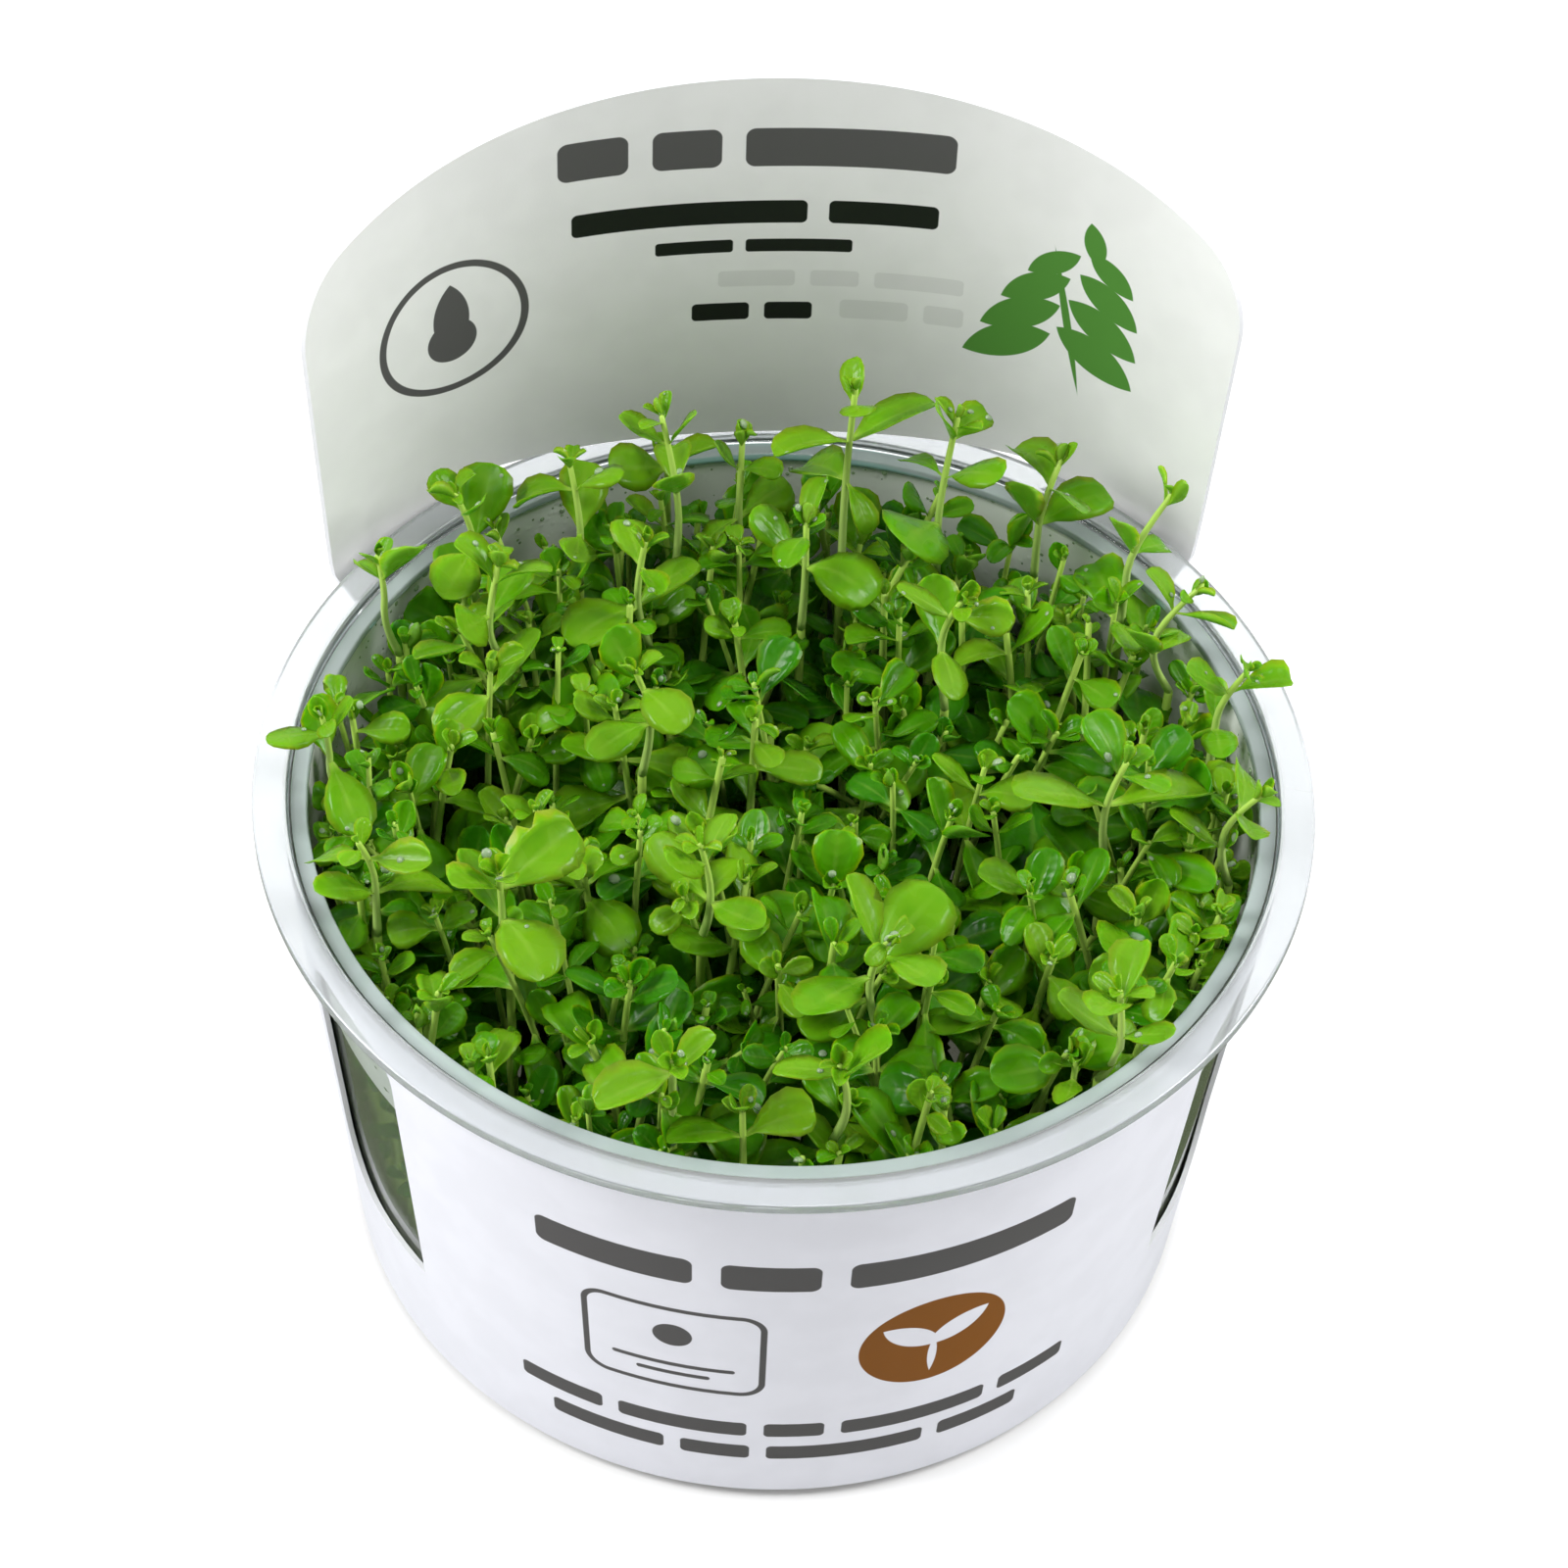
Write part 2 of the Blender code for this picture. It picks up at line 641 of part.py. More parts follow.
def cut_socket(crop, foot):
    """Cut the socket that one stem stands in."""
    points = []
    radius = (STEM_RADIUS + AIR) / math.cos(math.pi / SOCKET_SIDES)
    low = level_ring(points, foot - Vector((0, 0, AIR)), radius, 0, SOCKET_SIDES)
    high = level_ring(points, foot + Vector((0, 0, SOCKET_DEPTH + 4 * MM)), radius, 0, SOCKET_SIDES)
    faces = join_rings(low, high) + [tuple(low), tuple(high)]
    apply_boolean(crop, new_object("socket_cutter", points, faces), "DIFFERENCE")


def main():
    reset_scene()
    clear = new_material("clear_plastic", (0.86, 0.92, 0.90), 0.08, alpha=0.3)
    card = new_material("white_card", (0.90, 0.90, 0.91), 0.55)
    gel = new_material("gel", (0.72, 0.72, 0.52), 0.15, alpha=0.6)
    leaf = new_material("leaf", (0.20, 0.45, 0.05), 0.35)
    build_cup(clear)
    build_sleeve(card)
    build_gel(gel)
    tips = [Vector((x, y, z)) * MM for x, y, z, *_ in TALL_PLANTS]
    roots = [root_under(tip, lean) for tip, (_, _, _, lean, *_) in zip(tips, TALL_PLANTS)]
    crop = build_crop(roots, leaf)
    for number, (tip, root, (*_, length, turn)) in enumerate(zip(tips, roots, TALL_PLANTS), 1):
        foot = build_plantlet(f"plantlet_{number:02d}", root, tip, length * MM, turn, leaf)
        cut_socket(crop, foot)


main()
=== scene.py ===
"""Looks of a carpet plant grown in a clear cup that stands in a printed card sleeve.

Shapes are worked out as numpy arrays in millimetres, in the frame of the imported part: the origin is the
centre of the cup's base, the sleeve's front faces -Y and +Z is up. mesh_piece turns them to metres.
"""

import math

import bpy
import numpy as np
from mathutils import Matrix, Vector
from mathutils.geometry import delaunay_2d_cdt


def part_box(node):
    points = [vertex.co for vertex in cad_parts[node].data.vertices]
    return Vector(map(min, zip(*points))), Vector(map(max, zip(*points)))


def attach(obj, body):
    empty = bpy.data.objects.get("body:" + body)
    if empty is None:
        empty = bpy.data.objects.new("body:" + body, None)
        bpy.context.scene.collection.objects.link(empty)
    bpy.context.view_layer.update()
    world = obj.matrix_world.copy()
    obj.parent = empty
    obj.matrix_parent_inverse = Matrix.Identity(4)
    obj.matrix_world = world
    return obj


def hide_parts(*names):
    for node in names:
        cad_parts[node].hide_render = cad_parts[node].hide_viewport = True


bl_info = {
    "name": "Carpet plant in a cup",
    "version": (1, 0, 0),
    "blender": (4, 5, 0),
    "location": "3D View > Sidebar > Plant cup",
    "description": "Builds the cup, card sleeve, gel, crop and stage round the packed frame",
    "category": "Object",
}

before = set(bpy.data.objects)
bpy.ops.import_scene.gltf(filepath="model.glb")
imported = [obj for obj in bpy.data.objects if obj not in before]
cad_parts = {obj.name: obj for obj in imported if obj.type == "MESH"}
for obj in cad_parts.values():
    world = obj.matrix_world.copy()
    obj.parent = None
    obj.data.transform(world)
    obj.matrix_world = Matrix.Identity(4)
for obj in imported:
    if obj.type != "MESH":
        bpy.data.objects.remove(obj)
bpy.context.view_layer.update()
CUP_CORNER = [round(side, 5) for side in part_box("cup")[1]]
PANEL_TOP = round(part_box("sleeve")[1][2], 5)

# A millimetre in metres, and the gap in millimetres between pieces that lie against each other
MM = 0.001
AIR = 0.3

# Cup, in millimetres
FOOT_RADIUS = 42.2
NECK_RADIUS = 46.4
NECK_HEIGHT = 56.4
CUP_WALL = 0.8
FOOT_ROUNDING = 1.2
BASE_FLAT_RADIUS = 36.0
FLANGE_INNER_RADIUS = 46.9
FLANGE_THICKNESS = 1.2
FLANGE_ROUNDING = 0.35
LIP_RADIUS = 44.9
LEDGE_DROP = 0.95

# Sleeve, in millimetres and degrees
SLEEVE_FOOT = 1.4
SLEEVE_TOP = 56.6
STEP_FOOT = 49.0
STEP_TOP = 57.0
PANEL_STEP = 5.6
PANEL_ARCH_RADIUS = 115.0
PANEL_CORNER_RADIUS = 9.0
PANEL_HALF_WIDTH = 49.9
PANEL_HALF_ANGLE = 57.0
PANEL_FOOT_TAPER = 0.968
PANEL_SHOULDER_DROP = 17.6
PANEL_FLARE_END = 59.0
RELIEF_ANGLE = 59.5
SLOT_HALF_LENGTH = 28.4
SLOT_FOOT = 54.4
SLOT_TOP = 58.7
WINDOW_EDGE_ANGLE = 53.25
WINDOW_WIDTH = 16.0
WINDOW_FOOT = 16.4
WINDOW_TOP = 51.5
WINDOW_CORNER_RADIUS = 7.0
WINDOW_SHOULDER_RADIUS = 3.5
BAND_RADIUS = 45.5
PANEL_RADIUS = 49.5
SLOT_RADIUS = 47.6
SEAM_ANGLE = 179.999
CARD_GRID_STEP = 2.0

# Gel and crop, in millimetres
GEL_TOP = 13.0
CROP_RADIUS = 44.4
CROP_RIM_HEIGHT = 59.6
CROP_DOME = 2.0
CROP_BACK_RISE = 2.4
CROP_BACK_GAP = 4.0
MIST_FOOT = 44.0
LIP_FOOT = 55.0
REACH_IN_LIP = LIP_RADIUS - 0.35
CUP_CLEARED = 59.0
PANEL_NEAR = 18.0
REACH_AT_PANEL = 46.2
REACH_OVER_CUP = 48.7
TIP_SCATTER = 0.75
HEIGHT_SCATTER = 1.6
LOW_SHARE = 0.3
ROOT_SCATTER = 3.8
ROOT_REACH = 40.5
CROP_SWAY = 1.7
TALL_SWAY = 0.9
STEM_CLEARANCE = 1.2
SOCKET_DEPTH = 8.0
PAIR_SPACING = 3.7
STEM_ROWS = 12
CROP_STEM_RADII = (0.48, 0.30)
TALL_STEM_RADII = (0.44, 0.30)
TALL_LEAF_GROWTH = 1.4
DEW_TOP = 56.0
DEW_DEPTH = 13.0
FAR_OFF = 99.0

# Each row is one tall plantlet: its tip in millimetres, how far it leans outwards in degrees, its leaves'
# length in millimetres, and the turn of its lowest pair of leaves in degrees.
TALL_PLANTS = (
    (39.5, 24.5, 71.5, 32, 4.2, 130),
    (28.5, 30.0, 69.5, 22, 5.0, 15),
    (18.0, 30.0, 75.5, 10, 5.5, 40),
    (8.0, 30.5, 79.0, 10, 5.0, 100),
    (-2.5, 33.0, 70.5, 15, 4.2, 60),
    (-10.5, 31.0, 75.5, 18, 5.0, 165),
    (-19.5, 29.5, 71.5, 12, 5.0, 80),
    (-30.5, 28.0, 68.5, 22, 4.8, 30),
    (-38.0, 21.0, 67.5, 20, 5.0, 140),
    (-26.5, 18.0, 69.0, 8, 5.2, 70),
    (-43.0, 1.0, 66.5, 20, 4.8, 110),
    (-12.5, 20.0, 69.5, 8, 5.2, 5),
    (3.0, 21.5, 70.0, 5, 5.2, 150),
    (40.5, 14.0, 68.0, 18, 5.0, 55),
    (43.5, 3.5, 67.0, 20, 4.5, 95),
    (43.0, -11.0, 66.0, 18, 4.6, 165),
    (30.5, -8.5, 68.0, 6, 6.0, 25),
    (2.0, -40.5, 65.5, 14, 5.4, 175),
    (-12.5, -39.5, 65.5, 12, 5.2, 20),
    (-27.0, -20.0, 68.0, 8, 6.0, 120),
    (-39.5, -14.5, 66.5, 12, 5.2, 65),
    (7.0, -28.5, 67.5, 6, 6.0, 45),
    (27.0, -34.0, 66.5, 10, 5.6, 155),
    (-14.0, 3.5, 69.0, 6, 5.2, 35),
    (17.0, 11.0, 69.5, 8, 5.4, 85),
    (-9.0, -17.5, 68.5, 7, 5.4, 145),
)

# Places where the crop is thin, so that one looks down between the stems: x, y, radius, depth.
THIN_PLACES = (
    (15.0, 9.0, 6.5, 15.0),
    (5.0, 17.0, 5.5, 12.0),
    (-9.0, 13.0, 4.5, 10.0),
    (-31.0, -5.0, 4.0, 12.0),
    (3.0, -7.0, 4.0, 13.0),
    (25.0, -2.0, 4.0, 10.0),
    (-20.0, -1.0, 3.5, 9.0),
    (17.0, -14.0, 3.5, 9.0),
    (-22.0, -29.0, 3.5, 8.0),
    (33.0, 8.0, 3.5, 9.0),
)

# The camera, fitted to the photo's outlines of the flange, the cup's foot and the panel: its place in
# metres, and the directions of the picture's right and upper side.
CAMERA_PLACE = (-0.0238, -0.2466, 0.3327)
CAMERA_RIGHT = (0.9976, -0.0616, 0.0308)
CAMERA_UP = (0.0253, 0.7443, 0.6674)
CAMERA_LENS = 90.0

# Floor, in millimetres
FLOOR_HALF_WIDTH = 2600.0
FLOOR_DROP = 0.02

# Each row is one soft light: its name, its place and its diameter in metres.
SOFTBOXES = (
    ("left_softbox", (-0.66, -0.02, 0.62), 0.40),
    ("right_softbox", (0.68, 0.0, 0.62), 0.40),
    ("top_softbox", (0.04, -0.28, 0.86), 0.22),
)
LIGHT_TARGET = (0, 0, 0.04)


def smooth_step(low, high, value):
    """0 below low, 1 above high, and 3s^2 - 2s^3 between, where s is the share of the way."""
    share = np.clip((np.asarray(value, float) - low) / (high - low), 0.0, 1.0)
    return share * share * (3 - 2 * share)


def unit(vectors):
    """Each vector divided by its length."""
    return vectors / np.linalg.norm(vectors, axis=-1, keepdims=True)


def mesh_piece(name, points, quads, tris=(), materials=(), sharp=None, slot_of_face=None, values=None):
    """Put arrays into a mesh object at the origin. The points are in millimetres."""
    quads = np.asarray(quads, np.int32).reshape(-1, 4)
    tris = np.asarray(tris, np.int32).reshape(-1, 3)
    corners = np.concatenate([quads.ravel(), tris.ravel()])
    sizes = np.concatenate([np.full(len(quads), 4), np.full(len(tris), 3)])
    mesh = bpy.data.meshes.new(name)
    mesh.vertices.add(len(points))
    mesh.vertices.foreach_set("co", (np.asarray(points) * MM).astype(np.float32).ravel())
    mesh.loops.add(len(corners))
    mesh.loops.foreach_set("vertex_index", corners)
    mesh.polygons.add(len(sizes))
    mesh.polygons.foreach_set("loop_start", (np.cumsum(sizes) - sizes).astype(np.int32))
    mesh.polygons.foreach_set("use_smooth", np.ones(len(sizes), bool))
    if slot_of_face is not None:
        mesh.polygons.foreach_set("material_index", np.asarray(slot_of_face, np.int32))
    for material in materials:
        mesh.materials.append(material)
    mesh.update(calc_edges=True)
    if values is not None:
        for key, (domain, rows) in values.items():
            kind = "FLOAT_COLOR" if rows.shape[1] == 4 else "FLOAT_VECTOR"
            layer = mesh.attributes.new(key, kind, domain)
            field = "color" if kind == "FLOAT_COLOR" else "vector"
            layer.data.foreach_set(field, rows.astype(np.float32).ravel())
    if sharp is not None:
        mesh.set_sharp_from_angle(angle=math.radians(sharp))
    piece = bpy.data.objects.new(name, mesh)
    bpy.context.scene.collection.objects.link(piece)
    return piece


def fit_piece(piece, slot, *nodes):
    """Let a piece ride on the part, and stand for these nodes. The slot is not used."""
    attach(piece, "root")
    if nodes:
        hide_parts(*nodes)


def turned_piece(name, profile, sides, materials, slot_of_row=None):
    """A profile of (radius, height) rows turned round +Z: (r cos a, r sin a, z), with a pole at both ends."""
    profile = np.asarray(profile, float)
    angle = np.linspace(0, 2 * np.pi, sides, endpoint=False)
    ring = np.stack([np.cos(angle), np.sin(angle), np.zeros(sides)], -1)
    inner = profile[1:-1]
    rings = inner[:, None, :1] * ring + inner[:, None, 1:] * np.array([0, 0, 1.0])
    ends = np.array([[0, 0, profile[0, 1]], [0, 0, profile[-1, 1]]])
    points, quads, tris = closed_tubes(rings[None], ends[:1], ends[1:])
    slots = None
    if slot_of_row is not None:
        slots = np.concatenate([np.repeat(slot_of_row, sides), np.zeros(len(tris))])
    return mesh_piece(name, points, quads, tris, materials, slot_of_face=slots)


def closed_tubes(rings, first, last):
    """Points and faces of tubes from rings (tube, row, side, xyz), each closed by a pole at both ends."""
    count, rows, sides, _ = rings.shape
    size = rows * sides + 2
    flat = rings.reshape(count, rows * sides, 3)
    points = np.concatenate([flat, first[:, None], last[:, None]], 1).reshape(-1, 3)
    here = np.arange(sides)
    after = (here + 1) % sides
    row = np.arange(rows - 1)[:, None] * sides
    quads = np.stack([row + here, row + after, row + sides + after, row + sides + here], -1).reshape(-1, 4)
    end = (rows - 1) * sides
    start_fan = np.stack([np.full(sides, size - 2), after, here], -1)
    end_fan = np.stack([np.full(sides, size - 1), end + here, end + after], -1)
    tris = np.concatenate([start_fan, end_fan])
    offset = (np.arange(count) * size)[:, None, None]
    return points, (quads + offset).reshape(-1, 4), (tris + offset).reshape(-1, 3)


class Net:
    """Short calls that add shader nodes and wire them."""

    def __init__(self, tree):
        self.tree = tree

    def put(self, socket, value):
        if isinstance(value, bpy.types.NodeSocket):
            self.tree.links.new(value, socket)
        else:
            socket.default_value = value

    def node(self, kind, inputs=(), **settings):
        made = self.tree.nodes.new(kind)
        for key, value in settings.items():
            setattr(made, key, value)
        for key, value in dict(inputs).items():
            self.put(made.inputs[key], value)
        return made

    def math(self, operation, first, second=0.0, third=0.0):
        inputs = {0: first, 1: second, 2: third}
        return self.node("ShaderNodeMath", inputs, operation=operation).outputs[0]

    def distance(self, x, y):
        """The root of x^2 + y^2."""
        squares = self.math("ADD", self.math("MULTIPLY", x, x), self.math("MULTIPLY", y, y))
        return self.math("SQRT", squares)

    def vector(self, operation, first, second=(0, 0, 0)):
        return self.node("ShaderNodeVectorMath", {0: first, 1: second}, operation=operation).outputs[0]

    def step(self, low, high, value, to_low=0.0, to_high=1.0):
        inputs = {"Value": value, "From Min": low, "From Max": high, "To Min": to_low, "To Max": to_high}
        made = self.node("ShaderNodeMapRange", inputs, interpolation_type="SMOOTHSTEP")
        return made.outputs["Result"]

    def blend(self, factor, first, second):
        made = self.node("ShaderNodeMix", data_type="RGBA", blend_type="MIX")
        self.put(made.inputs["Factor"], factor)
        self.put(made.inputs["A"], first)
        self.put(made.inputs["B"], second)
        colour = [socket for socket in made.outputs if socket.type == "RGBA"]
        return colour[0]

    def noise(self, place, scale, detail=2.0):
        inputs = {"Vector": place, "Scale": scale, "Detail": detail, "Roughness": 0.5}
        return self.node("ShaderNodeTexNoise", inputs).outputs["Fac"]

    def bump(self, height, strength, distance):
        inputs = {"Height": height, "Strength": strength, "Distance": distance}
        return self.node("ShaderNodeBump", inputs).outputs["Normal"]


def plain_material(name, **values):
    """A Principled material, with the net to wire it and its shader."""
    material = bpy.data.materials.new(name)
    material.use_nodes = True
    net = Net(material.node_tree)
    shader = material.node_tree.nodes["Principled BSDF"]
    for key, value in values.items():
        shader.inputs[key.replace("_", " ")].default_value = value
    return material, net, shader


def rgba(colour):
    """The colour with full cover."""
    return (colour[0], colour[1], colour[2], 1.0)


def outer_wall(height):
    """Radius of the cup's outer wall: a straight line from the foot to the neck."""
    share = (height - FOOT_ROUNDING) / (NECK_HEIGHT - FOOT_ROUNDING)
    return FOOT_RADIUS + (NECK_RADIUS - FOOT_RADIUS) * share


def inner_wall(height, wall=CUP_WALL):
    """Radius of the cup's inner wall: the outer one less the wall's thickness."""
    return outer_wall(height) - wall


def rounded(corners, steps=3):
    """A profile whose corners (x, y, radius) become arcs, each a quadratic curve between its two tangent
    points. A further point before and after each arc keeps the straight parts flat when they are shaded."""
    corners = np.asarray(corners, float)
    place = corners[:, :2]
    out = [place[:1]]
    for before, here, after, radius in zip(place[:-2], place[1:-1], place[2:], corners[1:-1, 2]):
        if radius == 0:
            out.append(here[None])
            continue
        back = before - here
        on = after - here
        reach = min(radius, 0.4 * np.linalg.norm(back), 0.4 * np.linalg.norm(on))
        start = here + back / np.linalg.norm(back) * reach
        end = here + on / np.linalg.norm(on) * reach
        share = np.linspace(0, 1, steps + 1)[:, None]
        out.append((start + 0.12 * (start - here))[None])
        out.append(start * (1 - share) ** 2 + here * 2 * share * (1 - share) + end * share**2)
        out.append((end + 0.12 * (end - here))[None])
    out.append(place[-1:])
    return np.concatenate(out)


def cup_profile(settings):
    """The cup's section from the middle of its base, up the outside, over the flange, and down the inside."""
    top = settings.height / MM
    flange = settings.flange_radius / MM
    wall = settings.wall / MM
    under = top - FLANGE_THICKNESS
    low_inside = inner_wall(2.2, wall)
    straight = np.linspace(4.0, NECK_HEIGHT - 2.5, 5)
    outside = [(outer_wall(height), height, 0) for height in straight]
    inside = [(inner_wall(height, wall), height, 0) for height in straight[::-1]]
    corners = [(0, 0, 0), (BASE_FLAT_RADIUS, 0, 0), (FOOT_RADIUS - 0.1, 0, FOOT_ROUNDING)]
    corners += outside
    corners += [
        (NECK_RADIUS, under - 0.1, 0.5),
        (flange - 0.6, under, 0),
        (flange, under, FLANGE_ROUNDING),
        (flange, top, FLANGE_ROUNDING),
        (flange - 0.6, top, 0),
        (FLANGE_INNER_RADIUS + 0.8, top, 0),
        (FLANGE_INNER_RADIUS, top, FLANGE_ROUNDING),
        (FLANGE_INNER_RADIUS - 0.15, top - 0.9, 0.3),
        (LIP_RADIUS + 0.5, top - LEDGE_DROP, 0),
        (LIP_RADIUS, top - LEDGE_DROP, 0.3),
        (LIP_RADIUS - 0.1, top - 1.7, 0.3),
        (inner_wall(top - 2.6, wall), top - 2.6, 0.4),
    ]
    corners += inside
    corners += [(low_inside, wall, 1.4), (BASE_FLAT_RADIUS, wall, 0), (0, wall, 0)]
    return rounded(corners)


def cup_material(name, settings, tint, clearness, misted=False):
    """Clear plastic that is faintly green in its depth. Misted plastic has patches of tiny beads of water."""
    material, net, shader = plain_material(
        name,
        Base_Color=rgba(tint),
        Roughness=settings.roughness,
        IOR=1.47,
        Transmission_Weight=clearness,
    )
    depth = net.node("ShaderNodeVolumeAbsorption", {"Color": rgba(settings.depth_tint), "Density": 50.0})
    output = material.node_tree.nodes["Material Output"]
    net.put(output.inputs["Volume"], depth.outputs["Volume"])
    if misted:
        place = net.node("ShaderNodeTexCoord").outputs["Object"]
        cells = {"Vector": place, "Scale": 1100.0, "Randomness": 1.0}
        beads = net.node("ShaderNodeTexVoronoi", cells, feature="F1").outputs["Distance"]
        dome = net.step(0.12, 0.42, beads, 1.0, 0.0)
        patch = net.step(0.42, 0.60, net.noise(place, 140.0, 3.0))
        net.put(shader.inputs["Normal"], net.bump(net.math("MULTIPLY", dome, patch), 0.25, 0.0002))
    return material


def build_cup(settings):
    """The cup: a clear wall and base, mist on the wall over the crop, a flange and a lip that look a little
    white, and a foot with painted shade: a dark tint for the shadow and the gel seen through it."""
    profile = cup_profile(settings)
    middle = (profile[1:-2] + profile[2:-1]) / 2
    radius, height = middle.T
    skin = outer_wall(height)
    neck = NECK_HEIGHT - 0.6
    mist = (radius < skin - 0.3) & (height > MIST_FOOT) & (height < neck)
    lip = (radius < NECK_RADIUS - 0.3) & (height > neck)
    flange = (radius > FLANGE_INNER_RADIUS - 0.1) & (height > NECK_HEIGHT)
    # the foot's slot gets painted shade: a dark tint for the shadow and the gel seen through it
    foot = (radius > 38) & (radius > skin - 1.2) & (height < 1.6)
    slots = np.select([flange, lip, mist, foot], [2, 3, 1, 4], 0)
    materials = [
        cup_material("clear_plastic", settings, settings.tint, 0.97),
        cup_material("misted_plastic", settings, settings.mist_tint, settings.mist_clearness, True),
        cup_material("flange_plastic", settings, settings.flange_tint, settings.flange_clearness),
        cup_material("lip_plastic", settings, settings.lip_tint, settings.lip_clearness),
        cup_material("painted_shade_foot_plastic", settings, settings.foot_painted_shade, 0.5),
    ]
    cup = turned_piece("clear_cup", profile, 240, materials, slots)
    fit_piece(cup, "clear_plastic", "cup")


def card_radius(angle, height):
    """Distance of the card's middle from the axis: the cup's cone, plus a flare above the step that goes as
    sin^2 of the angle."""
    band = outer_wall(np.minimum(height, SLEEVE_TOP)) + AIR + 0.25
    flare = PANEL_STEP * np.sin(np.pi / 2 * angle / PANEL_FLARE_END) ** 2
    flare = np.where(np.abs(angle) <= PANEL_FLARE_END, flare, 0)
    return band + flare * smooth_step(STEP_FOOT, STEP_TOP, height)


def arc_points(centre, radius, start, end, steps):
    """Points on an arc, its angles in degrees."""
    angle = np.radians(np.linspace(start, end, steps + 1))
    return np.asarray(centre) + radius * np.stack([np.cos(angle), np.sin(angle)], -1)


def panel_outline(panel_top):
    """Right half of the panel's top edge on the flat card: an arch, then a rounded corner."""
    centre = panel_top - PANEL_ARCH_RADIUS
    corner_x = PANEL_HALF_WIDTH - PANEL_CORNER_RADIUS
    reach = PANEL_ARCH_RADIUS - PANEL_CORNER_RADIUS
    turn = math.degrees(math.asin(corner_x / reach))
    corner_z = centre + reach * math.cos(math.radians(turn))
    arch = arc_points((0, centre), PANEL_ARCH_RADIUS, 90, 90 - turn, 40)
    corner = arc_points((corner_x, corner_z), PANEL_CORNER_RADIUS, 90 - turn, 0, 12)
    return np.concatenate([arch, corner[1:]])


def card_outline(panel_top):
    """The flat card as (degrees from the back, height): the band with the panel on its middle, and a small
    round notch on each side where the panel's foot meets the band."""
    half = panel_outline(panel_top)
    half = np.stack([half[:, 0] * PANEL_HALF_ANGLE / PANEL_HALF_WIDTH, half[:, 1]], -1)
    shoulder = panel_top - PANEL_SHOULDER_DROP
    notch_height = STEP_FOOT + 0.8
    sides = np.linspace(half[-1, 1], notch_height, 24)[1:]
    low = np.clip((shoulder - sides) / (shoulder - STEP_TOP), 0, 1)
    side = np.stack([PANEL_HALF_ANGLE * (1 - (1 - PANEL_FOOT_TAPER) * low), sides], -1)
    foot_angle = side[-1, 0]
    middle = (foot_angle + RELIEF_ANGLE) / 2
    reach = (RELIEF_ANGLE - foot_angle) / 2
    notch = arc_points((middle, notch_height), 1.0, 180, 360, 8)
    notch = np.stack([middle + (notch[:, 0] - middle) * reach, notch[:, 1]], -1)
    relief = np.stack([np.full(7, RELIEF_ANGLE), np.linspace(notch_height, SLEEVE_TOP, 8)[1:]], -1)
    top = np.stack([np.arange(62.0, 180.0, 2.0), np.full(59, SLEEVE_TOP)], -1)
    right = np.concatenate([half, side, notch[1:], relief, top])
    left = right[:0:-1] * (-1, 1)
    rows = np.linspace(SLEEVE_TOP, SLEEVE_FOOT, 19)
    seam = np.stack([np.full(19, 180.0), rows], -1)
    foot = np.stack([np.arange(178.0, -179.0, -2.0), np.full(179, SLEEVE_FOOT)], -1)
    return np.concatenate([right, seam, foot, seam[::-1] * (-1, 1), left])


def window_outline(side):
    """A side window as (degrees from the back, height): straight front edge, rounded rear corners."""
    rear = WINDOW_WIDTH - WINDOW_CORNER_RADIUS
    front_top = WINDOW_TOP - WINDOW_SHOULDER_RADIUS
    low = arc_points((rear, WINDOW_FOOT + WINDOW_CORNER_RADIUS), WINDOW_CORNER_RADIUS, -90, 0, 10)
    high = arc_points((rear, WINDOW_TOP - WINDOW_CORNER_RADIUS), WINDOW_CORNER_RADIUS, 0, 90, 10)
    shoulder = arc_points((WINDOW_SHOULDER_RADIUS, front_top), WINDOW_SHOULDER_RADIUS, 90, 180, 6)
    foot = np.stack([np.linspace(0, rear, 6)[:-1], np.full(5, WINDOW_FOOT)], -1)
    front = np.stack([np.zeros(14), np.linspace(front_top, WINDOW_FOOT, 16)[1:-1]], -1)
    outline = np.concatenate([foot, low, high[1:], shoulder[1:], front])
    from_front = WINDOW_EDGE_ANGLE + np.degrees(outline[:, 0] / BAND_RADIUS)
    return np.stack([side * (180 - from_front), outline[:, 1]], -1)


def slot_outline():
    """The slot over the flange, as (degrees from the back, height)."""
    radius = (SLOT_TOP - SLOT_FOOT) / 2
    middle = (SLOT_TOP + SLOT_FOOT) / 2
    end = SLOT_HALF_LENGTH - radius
    straight = np.linspace(-end, end, 30)[1:-1]
    low = np.stack([straight, np.full(28, SLOT_FOOT)], -1)
    high = np.stack([straight[::-1], np.full(28, SLOT_TOP)], -1)
    right = arc_points((end, middle), radius, -90, 90, 12)
    left = arc_points((-end, middle), radius, 90, 270, 12)
    outline = np.concatenate([low, right, high, left])
    angle = np.degrees(np.arcsin(outline[:, 0] / SLOT_RADIUS))
    return np.stack([angle, outline[:, 1]], -1)


def inside_loop(points, loop):
    """Which points lie inside a closed loop, by counting the edges that a ray along +x crosses."""
    x, y = points[:, :1], points[:, 1:]
    ax, ay = loop[:, 0], loop[:, 1]
    bx, by = np.roll(ax, -1), np.roll(ay, -1)
    straddle = (ay > y) != (by > y)
    cross = ax + (y - ay) * (bx - ax) / np.where(by == ay, 1e-9, by - ay)
    return (np.sum(straddle & (x < cross), axis=1) % 2) == 1


def near_loop(points, loop, reach):
    """Which points are within reach of the loop's corners."""
    gap = np.abs(points[:, None, :] - loop[None, :, :])
    return np.any(np.hypot(gap[..., 0] * 0.8, gap[..., 1]) < reach, axis=1)


